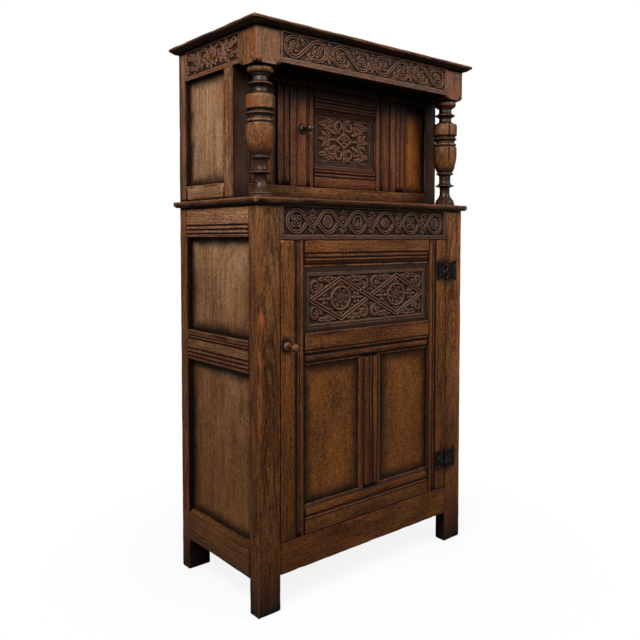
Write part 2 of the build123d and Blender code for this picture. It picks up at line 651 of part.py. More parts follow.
for side_name, side in SIDES.items():
    panel = cabinet_panels[side]
    rail_xs = (across(side, 0), across(side, CABINET_SIDE_RAIL_THICKNESS))
    with BuildPart() as bottom_rail:
        block(rail_xs, (side_front, side_back), (WAIST_TOP, CABINET_SIDE_RAIL_TOP))
        tenon_xs = (across(side, SIDE_TENON_INSET), across(side, SIDE_TENON_INSET + TENON_THICKNESS))
        tenon_zs = (WAIST_TOP + TENON_SHOULDER, CABINET_SIDE_RAIL_TOP - TENON_SHOULDER)
        tenons_in_y(side_front, side_back, TENON_LENGTH, tenon_xs, tenon_zs)
        add(panel, mode=Mode.SUBTRACT)
    keep(bottom_rail.part, f"cabinet_side_rail_{side_name}")

    stile_xs = (across(side, 0), across(side, CABINET_STILE_WIDTH))
    with BuildPart() as front_post:
        block(stile_xs, (CABINET_FRONT, side_front), (WAIST_TOP, SOFFIT_UNDERSIDE))
        fillet(front_post.edges().filter_by(Axis.Z).group_by(Axis.Y)[0], CABINET_ARRIS_ROUND)
        for housed in (bottom_rail.part, panel, side_friezes[side_name], fixed_panels.part, *cabinet_rails):
            add(housed, mode=Mode.SUBTRACT)
    keep(front_post.part, f"cabinet_front_stile_{side_name}")
    with BuildPart() as back_post:
        block(stile_xs, (side_back, BACK), (WAIST_TOP, TOP_UNDERSIDE))
        for housed in (bottom_rail.part, panel, side_friezes[side_name], cabinet_back.part):
            add(housed, mode=Mode.SUBTRACT)
    keep(back_post.part, f"cabinet_back_stile_{side_name}")

for side_name, side in SIDES.items():
    lower_panels = side_pieces[side_name][:2]
    with BuildPart() as side_panels:
        for panel in (*lower_panels, cabinet_panels[side]):
            add(panel)
    keep(side_panels.part, f"side_panels_{side_name}")

# ---------------------------------------------------------------- lower door

door_left, door_right = across(-1, LEG_WIDTH + DOOR_GAP), across(1, LEG_WIDTH + DOOR_GAP)
door_bottom, door_top = FRONT_RAIL_TOP + DOOR_GAP, FRIEZE_RAIL_BOTTOM - DOOR_GAP
stile_width = DOOR_STILE_FLAT + run_length(STILE_MOULDING)
field_left, field_right = door_left + stile_width, door_right - stile_width
top_rail_bottom = door_top - DOOR_TOP_RAIL_FLAT - run_length(RAIL_MOULDING)
middle_rail_bottom = DOOR_MIDDLE_RAIL_TOP - DOOR_MIDDLE_RAIL_FLAT - run_length(MIDDLE_RAIL_MOULDING)
bottom_rail_top = door_bottom + DOOR_BOTTOM_RAIL_FLAT + run_length(BOTTOM_RAIL_MOULDING)
door_tenon_ys = (FRONT + DOOR_TENON_INSET, FRONT + DOOR_TENON_INSET + DOOR_TENON_THICKNESS)

carved_front = FRONT + DOOR_CARVED_PANEL_RECESS
carved_ys = (carved_front, carved_front + DOOR_CARVED_PANEL_THICKNESS)
carved_xs = (field_left - PANEL_TONGUE, field_right + PANEL_TONGUE)
carved_zs = (DOOR_MIDDLE_RAIL_TOP - PANEL_TONGUE, top_rail_bottom + PANEL_TONGUE)
carved_panel = board(carved_xs, carved_ys, carved_zs)
keep(carved_panel.part, "lower_door_carved_panel")

with BuildPart() as plain_panels:
    plain_ys = (FRONT + DOOR_PLAIN_PANEL_RECESS, FRONT + DOOR_PLAIN_PANEL_RECESS + PANEL_THICKNESS)
    plain_zs = (bottom_rail_top - PANEL_TONGUE, middle_rail_bottom + PANEL_TONGUE)
    muntin_edge = MUNTIN_GROOVE_HALF + run_length(MUNTIN_MOULDING) - PANEL_TONGUE
    block((field_left - PANEL_TONGUE, -muntin_edge), plain_ys, plain_zs)
    block((muntin_edge, field_right + PANEL_TONGUE), plain_ys, plain_zs)
keep(plain_panels.part, "lower_door_plain_panels")

with BuildPart() as muntin:
    muntin_height = middle_rail_bottom - bottom_rail_top
    muntin_thickness = DOOR_THICKNESS - MUNTIN_GROOVE
    for side in SIDES.values():
        start = (0, FRONT + MUNTIN_GROOVE, middle_rail_bottom if side > 0 else bottom_rail_top)
        run, face = (side, 0, 0), (0, -1, 0)
        half = stick(start, run, face, muntin_height, MUNTIN_GROOVE_HALF, MUNTIN_MOULDING, muntin_thickness)
        add(half.part)
    muntin_tenon_xs = (-MUNTIN_TENON_HALF, MUNTIN_TENON_HALF)
    block(muntin_tenon_xs, door_tenon_ys, (bottom_rail_top - MUNTIN_TENON_LENGTH, bottom_rail_top))
    block(muntin_tenon_xs, door_tenon_ys, (middle_rail_bottom, middle_rail_bottom + MUNTIN_TENON_LENGTH))
    add(plain_panels.part, mode=Mode.SUBTRACT)
keep(muntin.part, "lower_door_muntin")

# the two stub tenons of the muntin and all the panels are let into the rails
rail_specs = {
    "top": (door_top, top_rail_bottom, True, DOOR_TOP_RAIL_FLAT, RAIL_MOULDING),
    "middle": (DOOR_MIDDLE_RAIL_TOP, middle_rail_bottom, True, DOOR_MIDDLE_RAIL_FLAT, MIDDLE_RAIL_MOULDING),
    "bottom": (door_bottom, bottom_rail_top, False, DOOR_BOTTOM_RAIL_FLAT, BOTTOM_RAIL_MOULDING),
}
door_rails = []
for rail_name, (outer_z, inner_z, down, flat, steps) in rail_specs.items():
    low, high = sorted((outer_z, inner_z))
    with BuildPart() as door_rail:
        add(front_rail(field_left, field_right, outer_z, down, FRONT, flat, steps, DOOR_THICKNESS).part)
        tenon_zs = (low + DOOR_TENON_SHOULDER, high - DOOR_TENON_SHOULDER)
        tenons_in_x(field_left, field_right, DOOR_TENON_LENGTH, door_tenon_ys, tenon_zs)
        for housed in (carved_panel.part, plain_panels.part, muntin.part):
            add(housed, mode=Mode.SUBTRACT)
    keep(door_rail.part, f"lower_door_{rail_name}_rail")
    door_rails.append(door_rail.part)

lower_knob_x = door_left + LOWER_KNOB_EDGE
for side_name, side in SIDES.items():
    outer_x = door_left if side < 0 else door_right
    section = (DOOR_STILE_FLAT, STILE_MOULDING, DOOR_THICKNESS)
    with BuildPart() as door_stile:
        add(front_stile(side, outer_x, door_bottom, door_top, FRONT, *section).part)
        for housed in (*door_rails, carved_panel.part, plain_panels.part):
            add(housed, mode=Mode.SUBTRACT)
        if side < 0:
            with Locations(Plane(origin=(lower_knob_x, FRONT, LOWER_KNOB_HEIGHT), z_dir=(0, -1, 0))):
                Hole(SPINDLE_RADIUS + RUNNING_CLEARANCE)
    keep(door_stile.part, f"lower_door_stile_{side_name}")

# ---------------------------------------------------------------- upper door

upper_left, upper_right = -UPPER_DOOR_WIDTH / 2, UPPER_DOOR_WIDTH / 2
upper_bottom, upper_top = CABINET_RAIL_TOP + DOOR_GAP, CABINET_TOP_RAIL_BOTTOM - DOOR_GAP
upper_stile_width = UPPER_DOOR_STILE_FLAT + run_length(CABINET_STILE_MOULDING)
upper_rail_width = UPPER_DOOR_RAIL_FLAT + run_length(CABINET_RAIL_MOULDING)
upper_field_xs = (upper_left + upper_stile_width, upper_right - upper_stile_width)
upper_tenon_front = CABINET_FRONT + UPPER_TENON_INSET
upper_tenon_ys = (upper_tenon_front, upper_tenon_front + UPPER_TENON_THICKNESS)

with BuildPart() as upper_panel:
    upper_panel_front = CABINET_FRONT + UPPER_DOOR_PANEL_RECESS
    block(
        (upper_field_xs[0] - PANEL_TONGUE, upper_field_xs[1] + PANEL_TONGUE),
        (upper_panel_front, upper_panel_front + UPPER_DOOR_PANEL_THICKNESS),
        (upper_bottom + upper_rail_width - PANEL_TONGUE, upper_top - upper_rail_width + PANEL_TONGUE),
    )
keep(upper_panel.part, "upper_door_carved_panel")

upper_rails = []
for rail_name, outer_z, down in (("bottom", upper_bottom, False), ("top", upper_top, True)):
    low, high = sorted((outer_z, outer_z - upper_rail_width if down else outer_z + upper_rail_width))
    with BuildPart() as upper_rail:
        add(
            front_rail(
                *upper_field_xs, outer_z, down, CABINET_FRONT,
                UPPER_DOOR_RAIL_FLAT, CABINET_RAIL_MOULDING, UPPER_DOOR_THICKNESS,
            ).part
        )
        tenon_zs = (low + UPPER_TENON_SHOULDER, high - UPPER_TENON_SHOULDER)
        tenons_in_x(*upper_field_xs, UPPER_TENON_LENGTH, upper_tenon_ys, tenon_zs)
        add(upper_panel.part, mode=Mode.SUBTRACT)
    keep(upper_rail.part, f"upper_door_{rail_name}_rail")
    upper_rails.append(upper_rail.part)

upper_knob_x = upper_left + UPPER_KNOB_EDGE
for side_name, side in SIDES.items():
    outer_x = upper_left if side < 0 else upper_right
    with BuildPart() as upper_stile:
        add(
            front_stile(
                side, outer_x, upper_bottom, upper_top, CABINET_FRONT,
                UPPER_DOOR_STILE_FLAT, CABINET_STILE_MOULDING, UPPER_DOOR_THICKNESS,
            ).part
        )
        if side > 0:
            hanging_edge = upper_stile.edges().filter_by(Axis.Z).group_by(Axis.X)[-1].sort_by(Axis.Y)[0]
            fillet(hanging_edge, PIVOT_EDGE_ROUND)
            for end in (upper_bottom, upper_top):
                with Locations((pivot_x, pivot_y, end)):
                    Cylinder(PIVOT_RADIUS + RUNNING_CLEARANCE, 2 * PIVOT_LENGTH, mode=Mode.SUBTRACT)
        else:
            with Locations(Plane(origin=(upper_knob_x, CABINET_FRONT, UPPER_KNOB_HEIGHT), z_dir=(0, -1, 0))):
                Hole(SPINDLE_RADIUS + RUNNING_CLEARANCE)
        for housed in (*upper_rails, upper_panel.part):
            add(housed, mode=Mode.SUBTRACT)
    keep(upper_stile.part, f"upper_door_stile_{side_name}")

# ---------------------------------------------------------------- butterfly hinges of the lower door

hinge_x = door_right + DOOR_GAP / 2
hinge_y = FRONT - KNUCKLE_RADIUS - KNUCKLE_CLEARANCE
knuckle = HINGE_HEIGHT / 3


def leaf_plate(direction, middle_z):
    """One flared leaf, flat on the face of the wood: straight at the knuckle, wider at its end."""
    inner = KNUCKLE_RADIUS + PLATE_CLEARANCE
    half = HINGE_HEIGHT / 2
    waist_half = half - HINGE_WAIST_NARROWING
    outline = [
        (inner, -half), (HINGE_WAIST_REACH, -waist_half), (HINGE_REACH, -half - HINGE_FLARE),
        (HINGE_REACH, half + HINGE_FLARE), (HINGE_WAIST_REACH, waist_half), (inner, half),
    ]
    with BuildSketch(Plane(origin=(hinge_x, FRONT, middle_z), x_dir=(1, 0, 0), z_dir=(0, -1, 0))) as leaf:
        with BuildLine():
            Polyline(*[(direction * u, v) for u, v in outline], close=True)
        make_face()
    extrude(leaf.sketch, amount=HINGE_PLATE)


def knuckle_barrel(direction, low, high, bore):
    """A rolled knuckle around the pin and the short neck that joins it to its leaf."""
    with Locations((hinge_x, hinge_y, (low + high) / 2)):
        Cylinder(KNUCKLE_RADIUS, high - low)
    neck_xs = (hinge_x, hinge_x + direction * (KNUCKLE_RADIUS + PLATE_CLEARANCE + 1))
    block(neck_xs, (FRONT - HINGE_PLATE, FRONT), (low, high))
    with Locations((hinge_x, hinge_y, (low + high) / 2)):
        Cylinder(bore, high - low, mode=Mode.SUBTRACT)


with BuildPart() as case_leaves:
    for height in HINGE_HEIGHTS:
        leaf_plate(1, height)
        bottom = height - HINGE_HEIGHT / 2
        knuckle_barrel(1, bottom, bottom + knuckle - KNUCKLE_GAP, HINGE_PIN_RADIUS)
        knuckle_barrel(1, bottom + 2 * knuckle + KNUCKLE_GAP, bottom + HINGE_HEIGHT, HINGE_PIN_RADIUS)
keep(case_leaves.part, "hinge_case_leaves")

with BuildPart() as door_leaves:
    for height in HINGE_HEIGHTS:
        leaf_plate(-1, height)
        knuckle_barrel(-1, height - knuckle / 2, height + knuckle / 2, HINGE_PIN_RADIUS + RUNNING_CLEARANCE)
keep(door_leaves.part, "hinge_door_leaves")

with BuildPart() as hinge_pins:
    for height in HINGE_HEIGHTS:
        with Locations((hinge_x, hinge_y, height)):
            Cylinder(HINGE_PIN_RADIUS, HINGE_HEIGHT)
        for end in (-1, 1):
            head_z = height + end * (HINGE_HEIGHT + PIN_HEAD_HEIGHT) / 2
            with Locations((hinge_x, hinge_y, head_z)):
                Cylinder(HINGE_PIN_RADIUS + PIN_HEAD_OVERSIZE, PIN_HEAD_HEIGHT)
keep(hinge_pins.part, "hinge_pins")

# ---------------------------------------------------------------- knobs and their turning catches


def knob(x, front, z, spindle_end):
    """A turned knob with its collar, neck and ball, and the spindle that runs through the stile."""
    ball = KNOB_REACH - KNOB_BALL_RADIUS
    ball_start = ball - (KNOB_BALL_RADIUS**2 - KNOB_NECK_RADIUS**2) ** 0.5
    # each step: (reach in front of the stile, radius, bulge of the line that reaches it)
    outline = [
        (front - spindle_end, 0, 0), (front - spindle_end, SPINDLE_RADIUS, 0),
        (KNOB_CLEARANCE, SPINDLE_RADIUS, 0), (KNOB_CLEARANCE, KNOB_COLLAR_RADIUS, 0),
        (KNOB_COLLAR_LENGTH, KNOB_COLLAR_RADIUS, 1.4), (KNOB_NECK_START, KNOB_NECK_RADIUS + 1, -1),
        (ball_start, KNOB_NECK_RADIUS, -0.3),
    ]
    with BuildPart() as piece:
        with BuildSketch(Plane(origin=(x, front, z), x_dir=(0, 0, 1), z_dir=(1, 0, 0))):
            with BuildLine():
                for (start_reach, start_r, _), (end_reach, end_r, bulge) in zip(outline, outline[1:]):
                    start, end = (start_r, start_reach), (end_r, end_reach)
                    if bulge:
                        SagittaArc(start, end, -bulge)
                    else:
                        Line(start, end)
                ThreePointArc((KNOB_NECK_RADIUS, ball_start), (KNOB_BALL_RADIUS, ball), (0, KNOB_REACH))
                Line((0, KNOB_REACH), (0, front - spindle_end))
            make_face()
        revolve(axis=Axis((x, front, z), (0, -1, 0)))
    return piece.part


def catch(x, near_y, z):
    """A wooden turning catch on the spindle's end. Upright it lets the door go; level it holds it."""
    with BuildPart() as piece:
        block(
            (x - CATCH_WIDTH / 2, x + CATCH_WIDTH / 2),
            (near_y, near_y + CATCH_THICKNESS),
            (z - CATCH_LENGTH / 2, z + CATCH_LENGTH / 2),
        )
        fillet(piece.edges().filter_by(Axis.Y), CATCH_CORNER_ROUND)
        with Locations(Plane(origin=(x, near_y, z), z_dir=(0, -1, 0))):
            Hole(SPINDLE_RADIUS)
    return piece.part


knob_places = {
    "lower": (lower_knob_x, FRONT, LOWER_KNOB_HEIGHT, LEG_DEPTH),
    "upper": (upper_knob_x, CABINET_FRONT, UPPER_KNOB_HEIGHT, CABINET_FRONT_THICKNESS),
}
for level, (x, front, z, frame_thickness) in knob_places.items():
    near_y = front + frame_thickness + CATCH_CLEARANCE
    keep(knob(x, front, z, near_y + CATCH_THICKNESS), f"{level}_knob")
    keep(catch(x, near_y, z), f"{level}_catch")
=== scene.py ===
import json
import math

import bmesh
import bpy
import numpy as np
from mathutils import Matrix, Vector, noise

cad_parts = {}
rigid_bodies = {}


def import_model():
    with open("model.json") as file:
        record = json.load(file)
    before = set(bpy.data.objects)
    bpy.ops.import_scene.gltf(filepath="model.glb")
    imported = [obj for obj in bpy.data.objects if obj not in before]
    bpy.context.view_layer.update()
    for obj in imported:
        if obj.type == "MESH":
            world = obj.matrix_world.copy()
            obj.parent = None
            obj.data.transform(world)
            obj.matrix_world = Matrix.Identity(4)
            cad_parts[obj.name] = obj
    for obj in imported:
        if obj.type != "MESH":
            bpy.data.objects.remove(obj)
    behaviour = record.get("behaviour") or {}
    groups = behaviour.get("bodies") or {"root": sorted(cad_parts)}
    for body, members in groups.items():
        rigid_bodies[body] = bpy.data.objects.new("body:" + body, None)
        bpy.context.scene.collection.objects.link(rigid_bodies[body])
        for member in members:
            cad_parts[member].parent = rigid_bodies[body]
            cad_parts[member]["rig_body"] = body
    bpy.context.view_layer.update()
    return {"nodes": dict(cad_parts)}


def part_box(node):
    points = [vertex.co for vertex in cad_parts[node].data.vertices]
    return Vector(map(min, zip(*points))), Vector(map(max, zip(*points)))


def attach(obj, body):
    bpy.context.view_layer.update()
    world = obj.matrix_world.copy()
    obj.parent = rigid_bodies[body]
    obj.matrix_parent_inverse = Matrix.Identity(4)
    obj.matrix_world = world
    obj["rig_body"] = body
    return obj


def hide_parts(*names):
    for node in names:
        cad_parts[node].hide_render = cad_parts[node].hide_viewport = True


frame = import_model()

# ---------------------------------------------------------------- legs
# Four squared oak legs run from the floor to the waist board and carry every rail in mortises.
# Oak, hand planed, stained nearly black and waxed. Years of handling have worn the stain off the arrises.


class Nodes:
    """Adds shader nodes to one tree. put returns the node, the rest return the socket of their result."""

    def __init__(self, tree):
        self.tree = tree

    def put(self, kind, inputs=None, **settings):
        """Adds a node, with its settings, and with a value or a link for each input named."""
        made = self.tree.nodes.new(kind)
        for name, value in settings.items():
            setattr(made, name, value)
        for key, value in (inputs or {}).items():
            if isinstance(value, bpy.types.NodeSocket):
                self.tree.links.new(value, made.inputs[key])
            else:
                made.inputs[key].default_value = value
        return made

    def calc(self, operation, a, b=0.0):
        """One sum on numbers."""
        return self.put("ShaderNodeMath", {0: a, 1: b}, operation=operation).outputs[0]

    def times(self, a, b, plus=0.0, clamp=False):
        """a times b, plus a third number, held between 0 and 1 if clamp is set."""
        inputs = {0: a, 1: b, 2: plus}
        return self.put("ShaderNodeMath", inputs, operation="MULTIPLY_ADD", use_clamp=clamp).outputs[0]

    def vector(self, operation, a, b=(0.0, 0.0, 0.0)):
        """One sum on vectors."""
        result = "Value" if operation in ("DISTANCE", "DOT_PRODUCT", "LENGTH") else "Vector"
        return self.put("ShaderNodeVectorMath", {0: a, 1: b}, operation=operation).outputs[result]

    def fit(self, value, low, high, to_low=0.0, to_high=1.0):
        """Maps a range of values smoothly onto another."""
        inputs = {"Value": value, "From Min": low, "From Max": high, "To Min": to_low, "To Max": to_high}
        return self.put("ShaderNodeMapRange", inputs, interpolation_type="SMOOTHSTEP").outputs["Result"]

    def mix(self, share, a, b, how="MIX"):
        """Mixes two colours."""
        a, b = ((*colour, 1) if isinstance(colour, tuple) else colour for colour in (a, b))
        inputs = {0: share, 6: a, 7: b}
        return self.put("ShaderNodeMix", inputs, data_type="RGBA", blend_type=how).outputs[2]

    def streaks(self, place, stretch, detail, roughness=0.55, distortion=0.0):
        """Noise from 0 to 1, of one frequency or of one for each axis."""
        stretch = stretch if isinstance(stretch, tuple) else (stretch, stretch, stretch)
        inputs = {"Vector": self.vector("MULTIPLY", place, stretch), "Scale": 1.0, "Detail": detail}
        inputs |= {"Roughness": roughness, "Distortion": distortion}
        return self.put("ShaderNodeTexNoise", inputs).outputs["Fac"]


def open_group(name, inputs):
    """Starts a shader node group. An input without a value is a vector. Returns its nodes and its inputs."""
    group = bpy.data.node_groups.new(name, "ShaderNodeTree")
    for label, value in inputs.items():
        kind = "NodeSocketVector" if value is None else "NodeSocketFloat"
        socket = group.interface.new_socket(label, in_out="INPUT", socket_type=kind)
        if value is not None:
            socket.default_value = value
    return Nodes(group), group.nodes.new("NodeGroupInput").outputs


def close_group(nodes, results):
    """Gives a group its named outputs, all of them masks from 0 to 1."""
    for label in results:
        nodes.tree.interface.new_socket(label, in_out="OUTPUT", socket_type="NodeSocketFloat")
    nodes.put("NodeGroupOutput", results)


figured, given = open_group("oak grain", {"Place along grain": None, "Piece": 0.0, "Streakiness": 0.4})
own = figured.put("ShaderNodeCombineXYZ", {
    0: figured.times(given["Piece"], 9.0),
    1: figured.times(given["Piece"], 0.13, 0.03),
    2: figured.times(given["Piece"], -0.09, 0.08),
}).outputs[0]
place = figured.vector("ADD", given["Place along grain"], own)
bend = figured.times(figured.calc("SUBTRACT", figured.streaks(place, (2.4, 3.0, 3.0), 2.0), 0.5), 0.07)
bends = figured.put("ShaderNodeCombineXYZ", {0: 0.0, 1: bend, 2: bend}).outputs[0]
rings = figured.put("ShaderNodeTexWave", {
    "Vector": figured.vector("ADD", figured.vector("MULTIPLY", place, (0.10, 1.0, 1.0)), bends),
    "Scale": 48.0, "Distortion": 2.6, "Detail": 3.0, "Detail Scale": 26.0, "Detail Roughness": 0.6,
}, wave_type="RINGS", rings_direction="X", wave_profile="SAW").outputs["Fac"]
bands = figured.streaks(place, (5.0, 120.0, 120.0), 4.0, 0.6, 0.4)
dashes = figured.streaks(place, (26.0, 330.0, 330.0), 2.0, 0.6)
cloud = figured.streaks(place, (4.0, 14.0, 14.0), 4.0, 0.6)
speck = figured.streaks(place, (150.0, 320.0, 320.0), 3.0, 0.7)
fibre = figured.streaks(place, (40.0, 420.0, 420.0), 2.0, 0.6)
flecks = figured.streaks(place, (300.0, 170.0, 170.0), 2.0, 0.6, 1.6)
reddish = figured.streaks(place, (5.0, 34.0, 34.0), 3.0, 0.6)
tone = 0.0
for figure, share in ((rings, 0.28), (bands, 0.65), (dashes, 0.35)):
    tone = figured.times(figured.calc("SUBTRACT", figure, 0.5), share, tone)
tone = figured.times(tone, given["Streakiness"])
for figure, share in ((cloud, 0.36), (speck, 0.54)):
    tone = figured.times(figured.calc("SUBTRACT", figure, 0.5), share, tone)
close_group(figured, {
    "Tone": figured.fit(tone, -0.16, 0.16),
    "Pores": figured.fit(fibre, 0.56, 0.70),
    "Ray fleck": figured.fit(flecks, 0.50, 0.66),
    "Red patches": figured.fit(reddish, 0.50, 0.66),
})

# Painted shade: the second output darkens creases and joints where close occlusion finds neighbours, partly
# real soiling and partly painted shade. The third darkens what lies under an overhang, such as the canopy,
# and is painted shade only. The first marks arrises rubbed bare.
wear_and_shade_group, given = open_group("rubbed arris and grime", {"Rub width": 0.003, "Grime reach": 0.012, "Place": None})
rounded = wear_and_shade_group.put("ShaderNodeBevel", {"Radius": given["Rub width"]}, samples=6).outputs[0]
turn = wear_and_shade_group.vector("DOT_PRODUCT", rounded, wear_and_shade_group.put("ShaderNodeNewGeometry").outputs["Normal"])
close, wide = (
    wear_and_shade_group.put("ShaderNodeAmbientOcclusion", {"Distance": distance}, samples=8).outputs["AO"]
    for distance in (given["Grime reach"], 0.18)
)
rub = wear_and_shade_group.times(wear_and_shade_group.fit(turn, 0.995, 0.86), wear_and_shade_group.fit(close, 0.62, 0.92))
rub = wear_and_shade_group.times(rub, wear_and_shade_group.fit(wear_and_shade_group.streaks(given["Place"], 52.0, 4.0, 0.7), 0.34, 0.56))
uneven = wear_and_shade_group.streaks(given["Place"], 60.0, 3.0)
grime_and_shade = wear_and_shade_group.times(uneven, 0.30, wear_and_shade_group.calc("SUBTRACT", 0.90, close))
wide_shade = wear_and_shade_group.times(uneven, 0.15, wear_and_shade_group.calc("SUBTRACT", 0.92, wide))
close_group(wear_and_shade_group, {
    "Rub": rub,
    "Grime": wear_and_shade_group.fit(grime_and_shade, 0.05, 0.34),
    "Shelter": wear_and_shade_group.fit(wide_shade, 0.26, 0.60),
})

case_left, case_front, case_back = -0.400, -0.186, 0.209
case_middle = (case_front + case_back) / 2
leg_width, leg_depth = 0.071, 0.038


class Wood(Nodes):
    """The nodes of one oak, and the colour built up in them coat by coat."""

    # The first colour is laid both as dark stain and as painted shade, and ruddy likewise.
    soot, ruddy, red = (0.0065, 0.0028, 0.0018), (0.072, 0.0195, 0.0090), (0.150, 0.040, 0.009)

    def __init__(self, tree, grain, colours):
        super().__init__(tree)
        places = self.put("ShaderNodeTexCoord").outputs
        self.here = places["Object"]
        self.at, self.facing, self.within = (
            self.put("ShaderNodeSeparateXYZ", {0: places[kind]}).outputs
            for kind in ("Object", "Normal", "Generated")
        )
        self.order = {"X": (0, 1, 2), "Y": (1, 0, 2), "Z": (2, 0, 1)}[grain]
        self.blotch = self.calc("SUBTRACT", self.streaks(self.here, 17.0, 4.0, 0.6), 0.5)
        self.colour, self.rubbed, self.dull = colours[0], colours[-1], 0.0

    def lay(self, colour, share):
        """Lays a coat over the colour so far."""
        self.colour = self.mix(share, self.colour, colour)

    def stain(self, colour, value, none, full, share=1.0):
        """Lays a coat that grows from nothing where value is none to its share where value is full."""
        self.lay(colour, self.fit(value, none, full, 0.0, share))

    def stored(self, name, wander=0.0):
        """A value stored at the points of the mesh, which wanders a little."""
        value = self.put("ShaderNodeAttribute", attribute_name=name).outputs["Fac"]
        return self.times(self.blotch, wander, value)


def oak(name, grain, colours, *coats, fleck=0.0, gloss=0.50, shine=0.09, rub=0.004, reach=0.010,
        streaky=0.30, bare=0.85, grime_and_shade_share=0.95, heart=None, lean=(1.0, 1.0), under=(-0.3, -0.8, 0.95),
        light_by_height=((0.65, 1.13), (0.56, 1.15), (0.39, 1.17))):
    """Stained oak with its grain along one axis. Its colours go from the darkest to that of rubbed arrises.

    lean paints light and shade on it from left to right, fade paints light and sheen on its red, green and
    blue from the floor up, and under says which way faces look that lie in shadow. dirt sets the share of
    soiling and painted shade in its creases and joints. heart places the middle of the growth rings of a
    leg.
    """
    made = bpy.data.materials.new(name)
    made.use_nodes = True
    wood = Wood(made.node_tree, grain, colours)
    piece = wood.put("ShaderNodeObjectInfo").outputs["Random"]
    if heart:
        beside, behind, tilt = heart
        depth = wood.calc("ABSOLUTE", wood.calc("SUBTRACT", wood.at["Y"], case_middle))
        run = {
            0: wood.times(piece, 9.0, wood.at["Z"]),
            1: wood.calc("SUBTRACT", wood.calc("ABSOLUTE", wood.at["X"]), beside),
            2: wood.calc("ADD", depth, wood.times(wood.at["Z"], tilt, -behind)),
        }
    else:
        run = {i: wood.at[k] for i, k in enumerate(wood.order)}
    figure = wood.put("ShaderNodeGroup", {
        "Place along grain": wood.put("ShaderNodeCombineXYZ", run).outputs[0],
        "Piece": 0.0 if heart else piece,
        "Streakiness": streaky,
    }, node_tree=figured.tree).outputs
    wear_and_shade = wood.put("ShaderNodeGroup", {
        "Rub width": rub,
        "Grime reach": reach,
        "Place": wood.here,
    }, node_tree=wear_and_shade_group.tree).outputs

    wood.stain(colours[1], figure["Tone"], 0.0, 0.5)
    wood.stain(colours[2], figure["Tone"], 0.45, 1.0)
    wood.lay(wood.red, wood.times(figure["Red patches"], 0.45))
    # Painted light: lighter or darker from left to right, and lighter and paler from the floor up.
    own_tone = wood.times(wood.fit(piece, 0.0, 1.0, 0.92, 1.08), wood.fit(wood.at["X"], -0.4, 0.4, *lean))
    tones = {k: wood.times(own_tone, wood.fit(wood.at["Z"], 0.1, 1.4, *ends)) for k, ends in enumerate(light_by_height)}
    tones = wood.put("ShaderNodeCombineXYZ", tones).outputs[0]
    wood.colour = wood.mix(1.0, wood.colour, tones, "MULTIPLY")
    wood.lay(wood.soot, wood.times(figure["Pores"], 0.65))
    if fleck:
        wood.lay(wood.rubbed, wood.times(figure["Ray fleck"], fleck))
    for coat in coats:
        coat(wood)
    wood.stain(wood.soot, wood.facing["Z"], *under)
    # Soiling and painted shade in the hollows of mouldings, from the creases stored in the mesh.
    crease = wood.stored("crease", 0.5)
    wood.stain(wood.ruddy, crease, 0.02, 0.35, 0.55)
    crease = wood.fit(crease, 0.22, 0.72)
    wood.lay(wood.soot, wood.times(crease, 0.94))
    # Painted shade under overhangs, then soiling and painted shade in creases and joints, then rubbed
    # arrises.
    wood.lay(wood.soot, wood.times(wear_and_shade["Shelter"], 0.95))
    wood.lay(wood.soot, wood.times(wear_and_shade["Grime"], grime_and_shade_share))
    bare = wood.times(wear_and_shade["Rub"], wood.calc("SUBTRACT", bare, crease), clamp=True)
    wood.lay(wood.rubbed, bare)

    dull = wood.calc("ADD", wood.times(figure["Pores"], 0.20, gloss), wood.dull)
    dull = wood.times(wear_and_shade["Grime"], 0.25, dull, clamp=True)
    height = wood.times(figure["Pores"], -0.6, wood.times(figure["Tone"], 0.5))
    height = wood.times(wood.streaks(wood.here, 70.0, 3.0, 0.6), 0.9, height)
    bump = wood.put("ShaderNodeBump", {"Strength": 0.7, "Distance": 0.0010, "Height": height}).outputs[0]
    shader = wood.tree.nodes["Principled BSDF"]
    shader.inputs["Specular IOR Level"].default_value = shine
    for label, value in (("Base Color", wood.colour), ("Roughness", dull), ("Normal", bump)):
        wood.tree.links.new(value, shader.inputs[label])
    return made


def spots(colour, wander, core, *places):
    """A coat of round marks. Each place is a point and a radius, core the share of it in full colour."""

    def coat(wood):
        for x, y, z, radius in places:
            away = wood.vector("DISTANCE", wood.here, (x, y, z))
            wood.stain(colour, wood.times(wood.blotch, wander, away), radius, radius * core, 0.90)

    return coat


